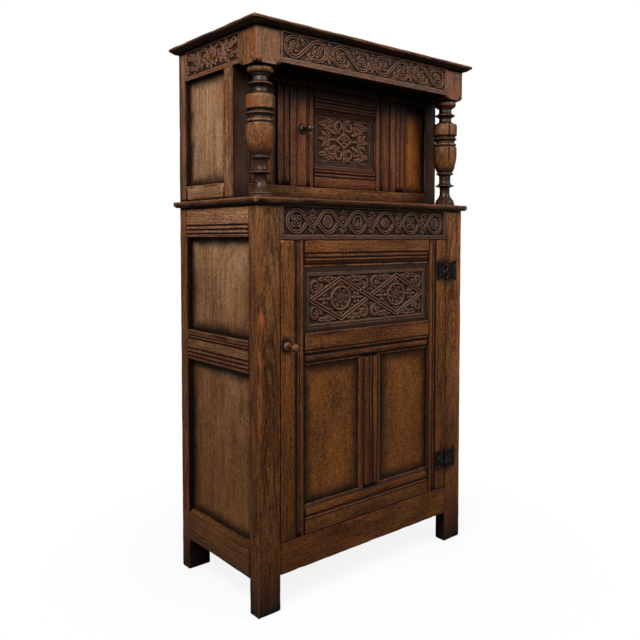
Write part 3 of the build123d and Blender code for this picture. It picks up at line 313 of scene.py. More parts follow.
def leg_wear_and_shade(wood):
    """Stain and painted shade along the rails and inside, painted shade on the faces that look inward,
    orange rubbing beside the outer corners, and a blackened foot.
    """
    inward = inside = 1.0
    half_width, half_depth = -case_left, case_back - case_middle
    for k, centre, inner in ((0, 0.0, half_width - leg_width), (1, case_middle, half_depth - leg_depth)):
        off = wood.calc("SUBTRACT", wood.at[k], centre)
        from_inside = wood.calc("SUBTRACT", wood.calc("ABSOLUTE", off), inner)
        inward = wood.calc("MINIMUM", inward, wood.times(wood.calc("SIGN", off), wood.facing[k]))
        from_inside = wood.calc("ADD", from_inside, wood.calc("ABSOLUTE", wood.facing[k]))
        inside = wood.calc("MINIMUM", inside, from_inside)
    inside = wood.times(wood.blotch, 0.014, inside)
    # Stain and painted shade along the inner sides, next to the rails.
    wood.stain(wood.ruddy, inside, 0.020, 0.007, 0.50)
    wood.stain(wood.soot, inside, 0.012, 0.0, 0.90)
    corner = wood.calc("SUBTRACT", half_width, wood.calc("ABSOLUTE", wood.at["X"]))
    corner = wood.calc("ADD", corner, wood.calc("ABSOLUTE", wood.facing["X"]))
    corner = wood.fit(wood.times(wood.blotch, 0.03, corner), 0.024, 0.008)
    corner = wood.times(corner, wood.fit(wood.at["Z"], 0.25, 0.45))
    patchy = wood.fit(wood.streaks(wood.here, (24.0, 24.0, 5.0), 3.0, 0.6), 0.40, 0.60, 0.15, 0.85)
    wood.lay((0.30, 0.080, 0.016), wood.times(corner, patchy))
    # Painted shade: faces that look into the case are nearly black.
    wood.stain((0.0014, 0.0006, 0.0004), inward, -0.3, -0.8, 0.97)
    # Darker towards the floor.
    wood.stain(wood.soot, wood.at["Z"], 0.21, 0.03, 0.58)
    wood.stain(wood.soot, wood.at["Z"], 0.035, 0.002, 0.80)


wear_seed = 7
noise.seed_set(wear_seed)


def cut(mesh, axis, at, merge=1e-6):
    """Cuts a mesh across one axis at one place."""
    normal = Vector([float(k == axis) for k in range(3)])
    geometry = mesh.verts[:] + mesh.edges[:] + mesh.faces[:]
    bmesh.ops.bisect_plane(mesh, geom=geometry, dist=merge, plane_co=normal * at, plane_no=normal)


def dress(node, data, material):
    """Puts a new mesh in place of a piece, on the same body."""
    data.materials.append(material)
    piece = bpy.data.objects.new(data.name, data)
    bpy.context.scene.collection.objects.link(piece)
    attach(piece, frame["nodes"][node]["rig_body"])
    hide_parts(node)


def worn(node, axes, material, slot="frame_oak", arris=0.0013, step=0.018, wave=0.0005, knocks=0.0, foot=0.0,
         mark=None):
    """Puts a copy with rubbed arrises and an uneven surface in place of a piece. axes[0] is its length."""
    low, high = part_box(node)
    middle, long_edge = (low + high) / 2, 0.02
    mesh = bmesh.new()
    mesh.from_mesh(frame["nodes"][node].data)
    bmesh.ops.remove_doubles(mesh, verts=mesh.verts, dist=1e-6)
    bmesh.ops.dissolve_limit(mesh, angle_limit=math.radians(0.5), verts=mesh.verts, edges=mesh.edges)
    mesh.normal_update()
    run = "XYZ".index(axes[0])
    across = [k for k in range(3) if k != run]
    hollows = set()
    for edge in mesh.edges:
        a, b = (vert.co for vert in edge.verts)
        hollow = edge.is_manifold and not edge.is_convex and edge.calc_face_angle() > math.radians(25)
        if hollow and abs(a[run] - b[run]) > long_edge:
            hollows.add(tuple(round(a[k], 4) for k in across))
    sharp = [
        e for e in mesh.edges
        if e.is_manifold and e.is_convex and e.calc_length() > long_edge
        and e.calc_face_angle() > math.radians(40)
        and min(f.calc_area() for f in e.link_faces) / e.calc_length() > 3 * arris
    ]
    rubbed = mesh.faces.layers.int.new("rubbed")
    if sharp and arris:
        made = bmesh.ops.bevel(
            mesh, geom=sharp, offset=arris, offset_type="OFFSET", segments=2, profile=0.5, affect="EDGES",
            clamp_overlap=False,
        )
        for face in made["faces"]:
            face[rubbed] = 1

    crease_width, wide_face = 0.0048, 0.035
    for k, axis in enumerate(across):
        if high[axis] - low[axis] > wide_face:
            for at in {round(line[k] + side * crease_width, 3) for line in hollows for side in (-1, 1)}:
                cut(mesh, axis, at, 1e-5)
    for axis in ("XYZ".index(letter) for letter in axes):
        for at in np.arange(low[axis] + step, high[axis] - step / 3, step):
            cut(mesh, axis, float(at))
    for share in (0.08, 0.3, 0.6, 1.0) if foot else ():
        cut(mesh, 2, foot * share)
    crease = mesh.verts.layers.float.new("crease")
    for vert in mesh.verts:
        a, b = vert.co[across[0]], vert.co[across[1]]
        nearest = min((math.hypot(a - line[0], b - line[1]) for line in hollows), default=crease_width)
        vert[crease] = max(0.0, 1 - nearest / crease_width)

    mesh.normal_update()
    moves, edge_reach = [], 0.006
    for vert in mesh.verts:
        move = noise.noise_vector(vert.co * 22) * wave + noise.noise_vector(vert.co * 75) * wave * 0.4
        if any(face[rubbed] for face in vert.link_faces):
            rub = max(0.0, noise.noise(vert.co * 31) + 0.15)
            rub += 2.0 * max(0.0, noise.noise(vert.co * 90) - 0.45)
            move -= vert.normal * rub * arris
        for k in (0, 1):
            if knocks and min(vert.co[k] - low[k], high[k] - vert.co[k]) < edge_reach:
                knock = max(0.0, noise.noise(vert.co * 17) + 0.05)
                knock += 0.8 * max(0.0, noise.noise(vert.co * 60) - 0.2)
                move[k] += math.copysign(1.0, middle[k] - vert.co[k]) * knock * knocks
            if vert.co.z < foot:
                drawn_in = foot * (1 - math.sqrt(1 - min(1.0, 1 - vert.co.z / foot) ** 2))
                move[k] -= (vert.co[k] - middle[k]) / (high[k] - low[k]) * 2 * drawn_in
        moves.append(move)
    for vert, move in zip(mesh.verts, moves):
        for k in range(3):
            vert.co[k] = min(max(vert.co[k] + move[k], low[k]), high[k])
    bmesh.ops.triangulate(mesh, faces=[f for f in mesh.faces if len(f.verts) > 4])
    if mark:
        mark(mesh)
    data = bpy.data.meshes.new(node + "_worn")
    mesh.to_mesh(data)
    mesh.free()
    data.polygons.foreach_set("use_smooth", np.ones(len(data.polygons), bool))
    data.set_sharp_from_angle(angle=math.radians(38))
    dress(node, data, material)


hinge_stains = [(0.328, -0.190, height, 0.058) for height in (0.274, 0.879)]
knob_stain = (-0.307, -0.190, 0.700, 0.030)
fittings = spots(Wood.soot, -0.03, 0.4, *hinge_stains, knob_stain)
leg_colours = (0.036, 0.013, 0.0043), (0.135, 0.054, 0.0168), (0.27, 0.118, 0.04), (0.36, 0.115, 0.03)
# Painted light on the legs: lighter to the right and towards the top.
oak_leg = oak(
    "oak, legs", "Z", leg_colours, leg_wear_and_shade, fittings, rub=0.007, streaky=0.45, bare=0.40,
    heart=(0.392, 0.290, 0.075), lean=(0.82, 1.14), light_by_height=((0.62, 0.96), (0.52, 0.99), (0.39, 1.06)),
)
for leg_name in ("front_leg_left", "front_leg_right", "back_leg_left", "back_leg_right"):
    worn(leg_name, "Z", oak_leg, arris=0.0024, wave=0.0008, foot=0.008)

# ---------------------------------------------------------------- side frames of the lower case
# On each side a plain bottom rail, a beaded and reeded middle rail and a reeded top rail, tenoned into the
# legs, hold two thin panels in grooves. The reeds are scratched by hand, so their lines waver.


def edged(wood):
    """Stain and painted shade where a rail or stile meets its neighbours, and painted shade on the slopes
    and in the quirks of its mouldings.
    """
    margin = 1.0
    for k in wood.order[1:]:
        from_edge = wood.calc("MINIMUM", wood.within[k], wood.calc("SUBTRACT", 1.0, wood.within[k]))
        from_edge = wood.calc("ADD", from_edge, wood.calc("ABSOLUTE", wood.facing[k]))
        margin = wood.calc("MINIMUM", from_edge, margin)
    margin = wood.times(wood.blotch, 0.22, margin)
    wood.stain(wood.ruddy, margin, 0.27, 0.10, 0.50)
    wood.stain(wood.soot, margin, 0.18, 0.01, 0.90)
    # Painted shade on every face that is not square to an axis, such as the slopes of the mouldings.
    level = wood.calc("MAXIMUM", wood.calc("ABSOLUTE", wood.facing["Z"]), wood.times(wood.facing["Z"], 1.45))
    for k in (0, 1):
        level = wood.calc("MAXIMUM", level, wood.calc("ABSOLUTE", wood.facing[k]))
    wood.stain(wood.ruddy, level, 0.985, 0.93, 0.45)
    wood.stain(wood.soot, level, 0.965, 0.88, 0.72)


side_colours = (0.036, 0.0135, 0.005), (0.136, 0.056, 0.0196), (0.28, 0.126, 0.05), (0.34, 0.14, 0.05)
# Painted light and sheen: the sides grow lighter and paler towards the top.
side_light_by_height = (0.56, 1.19), (0.46, 1.41), (0.31, 1.86)
oak_deep = oak("oak, grain front to back", "Y", side_colours, edged, light_by_height=side_light_by_height)
for side_name in ("left", "right"):
    for level in ("bottom", "middle", "top"):
        worn(f"side_{level}_rail_{side_name}", "Y", oak_deep)

# ---------------------------------------------------------------- panels of the sides
# Thin oak boards with the grain upright, paler than the frames, loose in grooves 8 mm deep. The stain lies
# thick round their edges, where the cloth could not reach to wipe it off, and the shade of the frame is
# painted there too.

panel_tongue = 0.008


def mark_inset(mesh):
    """Stores at each point how far it lies from the frame round its own board."""
    inset = mesh.verts.layers.float.new("inset")
    left = set(mesh.verts)
    while left:
        board, reached = set(), [left.pop()]
        while reached:
            vert = reached.pop()
            board.add(vert)
            near = {edge.other_vert(vert) for edge in vert.link_edges} & left
            left -= near
            reached += near
        low = [min(vert.co[k] for vert in board) for k in range(3)]
        high = [max(vert.co[k] for vert in board) for k in range(3)]
        wide = [k for k in range(3) if high[k] - low[k] > 0.03]
        for vert in board:
            vert[inset] = min(min(vert.co[k] - low[k], high[k] - vert.co[k]) for k in wide) - panel_tongue


def framed(wood):
    """Stain and painted shade round the edge of a panel."""
    wood.stain(wood.soot, wood.stored("inset", 0.034), 0.040, 0.001, 0.95)


panel_colours = (0.085, 0.035, 0.012), (0.195, 0.087, 0.032), (0.31, 0.15, 0.061), (0.33, 0.17, 0.075)
oak_panel = oak(
    "oak, side panel", "Z", panel_colours, framed, gloss=0.45, fleck=0.10, reach=0.006, streaky=0.25,
    light_by_height=side_light_by_height,
)
thin_board = dict(slot="panel_oak", arris=0, step=0.010, wave=0.0003, mark=mark_inset)
for side_name in ("left", "right"):
    worn(f"side_panels_{side_name}", "YZ", oak_panel, **thin_board)

# ---------------------------------------------------------------- plain front rail
# The oak rail under the door, planed flat and tenoned into the front legs.
# Its arrises are rubbed round, and it is stained darker near the legs.

rail_colours = (0.026, 0.0088, 0.0026), (0.118, 0.043, 0.011), (0.25, 0.1, 0.028), (0.34, 0.12, 0.036)
# Painted light: the rail is lighter towards the right.
oak_across = oak("oak, grain across", "X", rail_colours, edged, lean=(0.92, 1.38))
worn("front_bottom_rail", "X", oak_across, arris=0.0020)

# ---------------------------------------------------------------- carved frieze rail over the door
# An oak rail tenoned into the front legs. A guilloche is cut into its face with gouges: two interlaced
# bands round six large and five small eyes.


class Carving:
    """A carved field: heights from its ground, 0, to its face, 1, with u along it and v up it, in mm."""

    def __init__(self, width, height, pitch):
        self.u = np.linspace(0, width, round(width / pitch) + 1)
        self.v = np.linspace(0, height, round(height / pitch) + 1)
        self.rise = np.zeros((len(self.v), len(self.u)))

    def from_edge(self):
        """How far each point lies from the edge of the field."""
        u, v = np.meshgrid(self.u, self.v)
        return np.minimum(np.minimum(u, self.u[-1] - u), np.minimum(v, self.v[-1] - v))

    def near(self, points, reach):
        """The part of the grid within reach of some points, and its coordinates."""
        low, high = np.min(points, 0) - reach, np.max(points, 0) + reach
        i = slice(*np.searchsorted(self.u, (low[0], high[0])))
        j = slice(*np.searchsorted(self.v, (low[1], high[1])))
        return (j, i), *np.meshgrid(self.u[i], self.v[j])

    def leave(self, part, inside, height, cleared=False):
        """Leaves a form standing where it is the highest. The wood at cleared is cut away first."""
        old = np.where(cleared, 0, self.rise[part])
        self.rise[part] = np.where(inside, np.maximum(old, height), old)

    def strap(self, points, half, ridges=2, free=1.4):
        """A band along a line, with a V cut between its ridges, cut free of what it passes over."""
        part, u, v = self.near(points, half + free + 1)
        away = np.full(u.shape, 1e3)
        for (x0, y0), (x1, y1) in zip(points, points[1:]):
            dx, dy = x1 - x0, y1 - y0
            t = np.clip(((u - x0) * dx + (v - y0) * dy) / (dx * dx + dy * dy + 1e-9), 0, 1)
            away = np.minimum(away, np.hypot(u - x0 - t * dx, v - y0 - t * dy))
        q = np.clip(away / half, 0, 1)
        crest = q if ridges == 1 else (q - 0.58) / 0.48
        self.leave(part, away < half, 1 - 0.62 * crest**2, (away < half + free) & (free > 0))

    def leaf(self, x, y, angle, length, width, lobes, bend=0.0):
        """A leaf from its root at (x, y) with a hollow midrib, or a plain petal where lobes is 0."""
        part, u, v = self.near([(x, y)], length * (1 + abs(bend)) + 1)
        a = math.radians(angle)
        s = ((u - x) * math.cos(a) + (v - y) * math.sin(a)) / length
        t = -(u - x) * math.sin(a) + (v - y) * math.cos(a) - bend * length * s**2
        inside = (s > 0) & (s < 1)
        s = np.clip(s, 0.001, 0.999)
        notch = 0.62 + 0.38 * np.abs(np.cos(lobes * math.pi * s)) if lobes else 1.0
        q = np.abs(t) / np.maximum(width / 2 * np.sin(math.pi * s**0.8) ** 0.7 * notch, 1e-6)
        vein = lobes * 0.22 * (np.abs((s * lobes * 1.5 - q * 0.55) % 1 - 0.5) < 0.16) if lobes else 0.0
        rib = 0.6 * np.exp(-((t / 0.9) ** 2)) if lobes else 0.0
        height = np.sqrt(np.clip(1 - q**2.4, 0, 1)) * np.clip(1 - rib - vein, 0.2, 1)
        self.leave(part, inside & (q < 1), height, inside & (q < 1 + 2.4 / width))

    def curl(self, x, y, radius, start, turns, half):
        """A scroll that winds inward to an eye. Turns below 0 wind clockwise."""
        count = max(8, int(abs(turns) * 28))
        along = np.linspace(0, 1, count)
        reach = radius * (1 - 0.72 * along)
        angles = math.radians(start) + along * turns * 2 * math.pi
        points = [(x + r * math.cos(a), y + r * math.sin(a)) for r, a in zip(reach, angles)]
        self.strap(points, half, ridges=1, free=1.0)
        self.ball(x, y, radius * 0.24)

    def fan(self, x, y, angle, spread, petals, length, width):
        """Petals spread like fingers from one root."""
        for lean in np.linspace(-spread / 2, spread / 2, petals):
            reach = length * (1 - 0.25 * abs(lean) / (spread / 2 + 1e-6))
            self.leaf(x, y, angle + lean, reach, width, 0)

    def bars(self, x, y, levels, half):
        """Short bars across a stem, like a cord wound round it."""
        for level in levels:
            self.strap([(x - 10, y + level), (x + 10, y + level)], half, ridges=1, free=0)

    def flower(self, x, y, radius, petals, turn=0.0, dish=0.0, wide=1.0):
        """A rosette of petals round a boss, each petal hollowed by dish."""
        part, u, v = self.near([(x, y)], radius)
        r, angle = np.hypot(u - x, v - y), np.arctan2(v - y, u - x) - turn
        lean = (angle * petals / (2 * math.pi) + 0.5) % 1 - 0.5
        across = np.abs(lean) * 2 * wide
        s = np.clip((r / radius - 0.2) / 0.8, 0, 1)
        edge = 0.9 * np.sin(math.pi * np.clip(s, 0, 1) ** 0.85) ** 0.55
        q = across / np.maximum(edge, 1e-6)
        dished = np.clip(1 - (q**2 + ((s - 0.55) / 0.3) ** 2), 0, 1)
        height = np.sqrt(np.clip(1 - q**2, 0, 1)) * (1 - dish * dished)
        self.leave(part, (q < 1) & (r < radius), height, r < radius)
        self.ball(x, y, radius * 0.22)

    def hatched(self, x, y, wide, tall, pitch, angle):
        """An oval leaf scored with even lines to either side of a midrib."""
        part, u, v = self.near([(x, y)], max(wide, tall))
        inside = ((u - x) / wide) ** 2 + ((v - y) / tall) ** 2 < 1
        slope = math.tan(math.radians(angle))
        score = np.abs(((v - y + np.abs(u - x) * slope) / pitch) % 1 - 0.5) * 2
        height = np.where(np.abs(u - x) < 0.8, 0.35, 0.45 + 0.55 * score)
        self.leave(part, inside, height)

    def ball(self, x, y, radius):
        """A small round knob in a ring of ground."""
        part, u, v = self.near([(x, y)], radius + 2)
        r = np.hypot(u - x, v - y)
        self.leave(part, r < radius, np.sqrt(np.clip(1 - (r / radius) ** 2, 0, 1)), r < radius + 1.0)

    def hollow(self, x, y, wide, tall, depth):
        """A sunk oval, cut below what stands there."""
        part, u, v = self.near([(x, y)], max(wide, tall) + 1)
        q = ((u - x) / wide) ** 2 + ((v - y) / tall) ** 2
        self.rise[part] *= 1 - depth * np.clip(1 - q, 0, 1) ** 0.4

    def border(self, left, bottom, right, top, slope=1.5):
        """Leaves the wood round the carved field at its full height."""
        u, v = np.meshgrid(self.u, self.v)
        across = np.maximum(left - u, u - (self.u[-1] - right))
        outside = np.maximum(across, np.maximum(bottom - v, v - (self.v[-1] - top)))
        self.rise = np.where(outside > -1.0, 0, self.rise)
        self.rise = np.maximum(self.rise, np.clip(1 + outside / slope, 0, 1))


def arc(x, y, wide, start, end, tall=None):
    """Points along an arc or part of an oval, between two angles in degrees."""
    tall = wide if tall is None else tall
    angles = np.radians(np.linspace(start, end, max(4, int(abs(end - start) / 9))))
    return [(x + wide * math.cos(a), y + tall * math.sin(a)) for a in angles]


def smoothed(field, cells):
    """A field of heights blurred over a number of cells each way."""
    reach = math.ceil(3 * cells)
    weights = np.exp(-0.5 * (np.arange(-reach, reach + 1) / cells) ** 2)
    weights /= weights.sum()
    padded = np.pad(field, reach, mode="edge")
    for axis in (0, 1):
        padded = np.apply_along_axis(np.convolve, axis, padded, weights, mode="same")
    return padded[reach:-reach, reach:-reach]


def carve(node, carving, material, origin, thickness, depth=4.5, run=(1, 0, 0), out=(0, -1, 0)):
    """Turns a carving into the face of a board. origin is its lower corner, run the way u goes."""
    run, out, up = np.array(run), np.array(out), np.array((0, 0, 1))
    cell = carving.u[1] - carving.u[0]
    rise = smoothed(carving.rise, 0.45 / cell)
    crest = rise - smoothed(rise, 2.2 / cell)
    rows, columns = rise.shape
    generator = np.random.default_rng(len(node) + columns)
    pits = smoothed(generator.normal(0, 1, rise.shape), 1.1 / cell) * 3.2
    u, v = np.meshgrid(carving.u, carving.v)
    height = np.minimum((rise - 1) * depth + np.where(rise < 0.15, 0.30, 0.08) * pits, 0)
    front = u[..., None] * run + v[..., None] * up + height[..., None] * out
    front = (np.array(origin) + front / 1000).reshape(-1, 3)
    index = np.arange(rows * columns).reshape(rows, columns)
    rim = np.concatenate([index[0, :-1], index[:-1, -1], index[-1, :0:-1], index[:0:-1, 0]])
    back = front[rim] + 0.0
    level = np.abs(out) > 0.5
    back[:, level] = (np.array(origin) - thickness * out)[level]
    quads = np.stack([index[:-1, :-1], index[:-1, 1:], index[1:, 1:], index[1:, :-1]], -1).reshape(-1, 4)
    behind = len(front) + np.arange(len(rim))
    sides = np.stack([rim, behind, np.roll(behind, -1), np.roll(rim, -1)], -1)
    faces = quads.tolist() + sides.tolist() + [behind[::-1].tolist()]
    data = bpy.data.meshes.new(node + "_carved")
    data.from_pydata(np.concatenate([front, back]).tolist(), [], faces)
    inset = carving.from_edge() / 1000
    for name, values, plain in (("rise", rise, 1.0), ("crest", crest, 0.0), ("inset", inset, 0.1)):
        values = np.append(values.ravel(), np.full(len(rim), plain))
        data.attributes.new(name, "FLOAT", "POINT").data.foreach_set("value", values.astype(np.float32))
    data.polygons.foreach_set("use_smooth", np.arange(len(faces)) < len(quads))
    data.update()
    dress(node, data, material)


def carved(wood):
    """A ground and grooves that are darker, partly stain and partly painted shade, and crests that are
    rubbed bare.
    """
    crest = wood.stored("crest")
    wood.stain(wood.soot, wood.stored("rise"), 0.66, 0.08, 0.80)
    wood.stain(wood.soot, crest, 0.0, -0.26, 0.88)
    wood.stain(wood.rubbed, crest, 0.04, 0.32, 0.72)


grey_colours = (0.027, 0.013, 0.0075), (0.052, 0.0265, 0.0155), (0.088, 0.046, 0.0275), (0.15, 0.083, 0.052)
oak_carved_rail = oak("oak, carved rail", "X", grey_colours, carved, grime_and_shade_share=0.45, reach=0.006)

rail_low, rail_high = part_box("front_frieze_rail")
rail_width = -2 * (case_left + leg_width)
guilloche = Carving(rail_width * 1000, (rail_high.z - rail_low.z) * 1000, 0.8)
middle, big, small, pitch, first = 48.0, 29.0, 12.5, 109.6, 55.0
phi = math.degrees(math.acos((big + small) / (pitch / 2)))
for k in range(7):
    x = first + (k - 0.5) * pitch
    for sign in (-1, 1):
        guilloche.fan(x, middle + sign * 16, sign * 90, 130, 5, 20, 6.5)
for sign in (-1, 1):
    line = []
    for k in range(6):
        x = first + k * pitch
        line += arc(x, middle, big, 270 if k == 0 else 180 - phi, -90 if k == 5 else phi, sign * big)
        if k < 5:
            line += arc(x + pitch / 2, middle, small, 180 + phi, 360 - phi, sign * small)
    guilloche.strap(line, 5.4)
for k in range(6):
    x = first + k * pitch
    if k in (0, 4):
        guilloche.flower(x, middle, 20, 4, math.pi / 4, dish=0.8)
    elif k == 2:
        guilloche.strap(arc(x, middle, 17, 0, 360), 2.4, ridges=1)
        for sign in (-1, 1):
            guilloche.leaf(x + sign, middle - 14, 90 - sign * 22, 30, 15, 0)
            guilloche.hollow(x + sign * 7, middle + 3, 4.5, 9, 0.85)
    else:
        guilloche.hatched(x, middle, 18, 14 if k == 3 else 19, 4.2, 35 if k == 3 else -25)
    if k < 5:
        guilloche.ball(x + pitch / 2, middle, 5.0)
guilloche.border(13, 12, 13, 5)
carve(
    "front_frieze_rail", guilloche, oak_carved_rail, (-rail_width / 2, case_front, rail_low.z),
    thickness=0.030,
)

# ---------------------------------------------------------------- back, floor and shelf of the lower case
# Rough sawn oak boards, held by their rails and bearers. They are seen only when the door is open or from
# behind, and are dry and greyer than the outside.

inner_colours = (0.04, 0.02, 0.01), (0.095, 0.05, 0.024), (0.15, 0.085, 0.042), (0.19, 0.11, 0.055)
oak_inner = oak("oak, unpolished", "X", inner_colours, gloss=0.70, shine=0.12, reach=0.030)
oak_inner_upright = oak("oak, unpolished, upright", "Z", inner_colours, gloss=0.70, shine=0.12, reach=0.030)


def finish_plain(node, material):
    """Gives a piece that is shown as it was built its wood or iron."""
    materials = frame["nodes"][node].data.materials
    materials.clear()
    materials.append(material)


for node in ("lower_floor", "lower_shelf", "shelf_bearers", "lower_back_rails"):
    finish_plain(node, oak_inner)
for node in ("lower_back_panel", "cabinet_back_panel"):
    finish_plain(node, oak_inner_upright)

# ---------------------------------------------------------------- waist board
# One oak board laid on the legs, with a rounded nose planed over a hollow.
# Its edge is knocked and uneven, and rubbed pale along the nose.

board_colours = (0.036, 0.013, 0.0055), (0.105, 0.04, 0.017), (0.19, 0.082, 0.038), (0.42, 0.2, 0.105)
oak_board = oak("oak, boards", "X", board_colours, rub=0.005, reach=0.012, under=(0.40, -0.60, 0.90))
worn("waist_board", "XY", oak_board, arris=0.0010, wave=0.0008, knocks=0.0035, step=0.014)

# ---------------------------------------------------------------- corner posts
# Each is one length of oak: turned below into a baluster, left square above for the canopy's friezes. Hands
# have polished the swellings orange, and the necks and rings between them are black with wax and dirt.

block_bottom, widest, block_swell = 1.430, 0.036, 2.0


def mark_swell(mesh):
    """Stores at each point how far it stands from the post's axis, as a share of the widest turning."""
    swell = mesh.verts.layers.float.new("swell")
    centre = sum((vert.co for vert in mesh.verts), Vector()) / len(mesh.verts)
    for vert in mesh.verts:
        reach = math.hypot(vert.co.x - centre.x, vert.co.y - centre.y) / widest
        vert[swell] = block_swell if vert.co.z > block_bottom else reach


def turned(wood):
    """Old wax left in the necks and in specks all over. The square block has never been polished."""
    wax, swell = (0.018, 0.0068, 0.0029), wood.stored("swell", 0.20)
    wood.stain(wax, swell, 0.95, 0.74, 0.86)
    wood.stain(wax, wood.streaks(wood.here, (60.0, 60.0, 38.0), 4.0, 0.7), 0.50, 0.66, 0.55)
    wood.dull = wood.fit(swell, 1.3, 1.7, 0.0, 0.30)


turned_colours = (0.034, 0.011, 0.0032), (0.098, 0.036, 0.01), (0.2, 0.08, 0.025), (0.34, 0.145, 0.062)
oak_turned = oak(
    "oak, turned", "Z", turned_colours, turned, gloss=0.19, shine=0.22, reach=0.012, streaky=0.25,
)
for side_name in ("left", "right"):
    post = f"corner_post_{side_name}"
    worn(post, "Z", oak_turned, "turned_oak", arris=0.0015, wave=0.0003, step=0.012, mark=mark_swell)

# ---------------------------------------------------------------- upper cabinet
# Oak stiles, rails and reeded mullions, tenoned together round thin panels. It is set back under the canopy,
# so its colours are darker, partly stain and partly painted shade, and the canopy's shadow is painted at the
# top.


def canopy_shadow(wood):
    """Painted shadow of the canopy, high up on what faces the front."""
    shade = wood.fit(wood.times(wood.blotch, 0.03, wood.at["Z"]), 1.345, 1.400)
    shade = wood.times(shade, wood.fit(wood.facing["Y"], -0.2, -0.7))
    wood.lay(wood.soot, wood.times(shade, 0.93))


def post_shadow(wood):
    """Painted shadow of the corner post, on the faces that look to the front."""
    wood.stain((0.022, 0.0066, 0.0026), wood.facing["Y"], -0.3, -0.8, 0.72)


# A darker copy of the frame colours, partly darker stain and partly painted shade under the canopy.
shaded_colours = (0.019, 0.0062, 0.0024), (0.082, 0.0265, 0.0098), (0.178, 0.064, 0.024), (0.34, 0.12, 0.045)
oak_shaded_upright = oak("oak, cabinet, upright", "Z", shaded_colours, edged, canopy_shadow)
oak_shaded_across = oak("oak, cabinet, across", "X", shaded_colours, edged, canopy_shadow)
# Painted light: the stiles are lighter and paler towards the top.
oak_side_upright = oak(
    "oak, cabinet, stiles", "Z", side_colours, edged, canopy_shadow, post_shadow,
    light_by_height=((0.50, 0.98), (0.42, 1.10), (0.30, 1.40)),
)
for side_name in ("left", "right"):
    worn(f"cabinet_front_stile_{side_name}", "Z", oak_side_upright)
    worn(f"cabinet_back_stile_{side_name}", "Z", oak_side_upright)
    worn(f"cabinet_mullion_{side_name}", "Z", oak_shaded_upright)
    worn(f"cabinet_side_rail_{side_name}", "Y", oak_deep)
worn("cabinet_bottom_rail", "X", oak_across)
worn("cabinet_top_rail", "X", oak_shaded_across)
# Painted light: the fixed panels are coloured brighter than the other panels, against the shade under the
# canopy.
lit_fixed_colours = (0.08, 0.022, 0.0036), (0.25, 0.077, 0.0115), (0.39, 0.13, 0.023), (0.45, 0.17, 0.045)
oak_fixed = oak(
    "oak, fixed panels", "Z", lit_fixed_colours, framed, canopy_shadow,
    gloss=0.42, fleck=0.30, reach=0.006, streaky=0.15,
)
worn("cabinet_fixed_panels", "XZ", oak_fixed, **thin_board)

# ---------------------------------------------------------------- carved friezes of the canopy
# Three oak boards held by the post blocks, carved with gouges. The front has a running scroll of double
# ribbon in four pairs of roundels, with a bud between the pairs. Each side has two arches round buds, a fan
# of leaves between them and a curled leaf at each end.

carved_colours = (
    (0.03, 0.0127, 0.0064), (0.062, 0.027, 0.0138), (0.104, 0.048, 0.0255), (0.225, 0.098, 0.048),
)
handled = dict(gloss=0.42, shine=0.16, grime_and_shade_share=0.45, reach=0.006)
oak_carved = oak("oak, carved front", "X", carved_colours, carved, **handled)
oak_carved_side = oak("oak, carved sides", "Y", carved_colours, carved, **handled)
frieze_low, frieze_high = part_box("front_frieze")
frieze_height = (frieze_high.z - frieze_low.z) * 1000
frieze_width, frieze_thickness = 0.648, 0.022
scroll = Carving(frieze_width * 1000, frieze_height, 0.8)
middle, wide, tall, gap = 46.0, 28.0, 25.0, 80.5
for unit in range(4):
    x0 = 42.5 + unit * 2 * gap
    x1 = x0 + gap
    rising = 1 if unit % 2 == 0 else -1
    for x, lean in ((x0, 1), (x1, -1)):
        way = rising * lean
        bend = way * lean
        scroll.leaf(x - lean * 15, middle - way * 16, way * (90 - lean * 40), 46, 25, 2, bend * 0.20)
        scroll.leaf(x + lean * 11, middle - way * 14, way * (90 + lean * 14), 34, 19, 2, bend * -0.15)
        scroll.leaf(x + lean * 17, middle + way * 2, way * (90 + lean * 30), 17, 11, 0)
        scroll.curl(x + lean * 3, middle + way * 3, 7.5, 90 - lean * 120, way * 1.0, 3.4)
        corner = (x0 + x1) / 2 - lean * 6
        scroll.leaf(corner + lean * 8, middle + way * 27, 90 + 90 * lean, 30, 15, 2)
        scroll.leaf(corner - lean * 4, middle + way * 25, way * -84, 20, 13, 2)
        scroll.leaf(corner - lean * 10, middle + way * 25, way * -50, 15, 10, 0)
    scroll.strap(arc(x0, middle, wide, 200, 60, rising * tall), 5.0)
    scroll.strap(arc(x1, middle, wide, 240, 380, rising * tall), 5.0)
    crossing = arc(x0, middle, wide, 180, 312, rising * tall) + arc(x1, middle, wide, 132, 0, rising * tall)
    scroll.strap(crossing, 5.4)
    if unit < 3:
        bud = x1 + gap / 2
        scroll.fan(bud, middle + 2, 90, 60, 3, 26, 10)
        scroll.fan(bud, middle - 4, 270, 70, 3, 24, 11)
        scroll.ball(bud, middle + 25, 5)
        scroll.bars(bud, middle, (-5, -1, 3), 2.0)
scroll.border(7, 14, 7, 6)
carve(
    "front_frieze", scroll, oak_carved, (-frieze_width / 2, case_front, frieze_low.z),
    frieze_thickness,
)

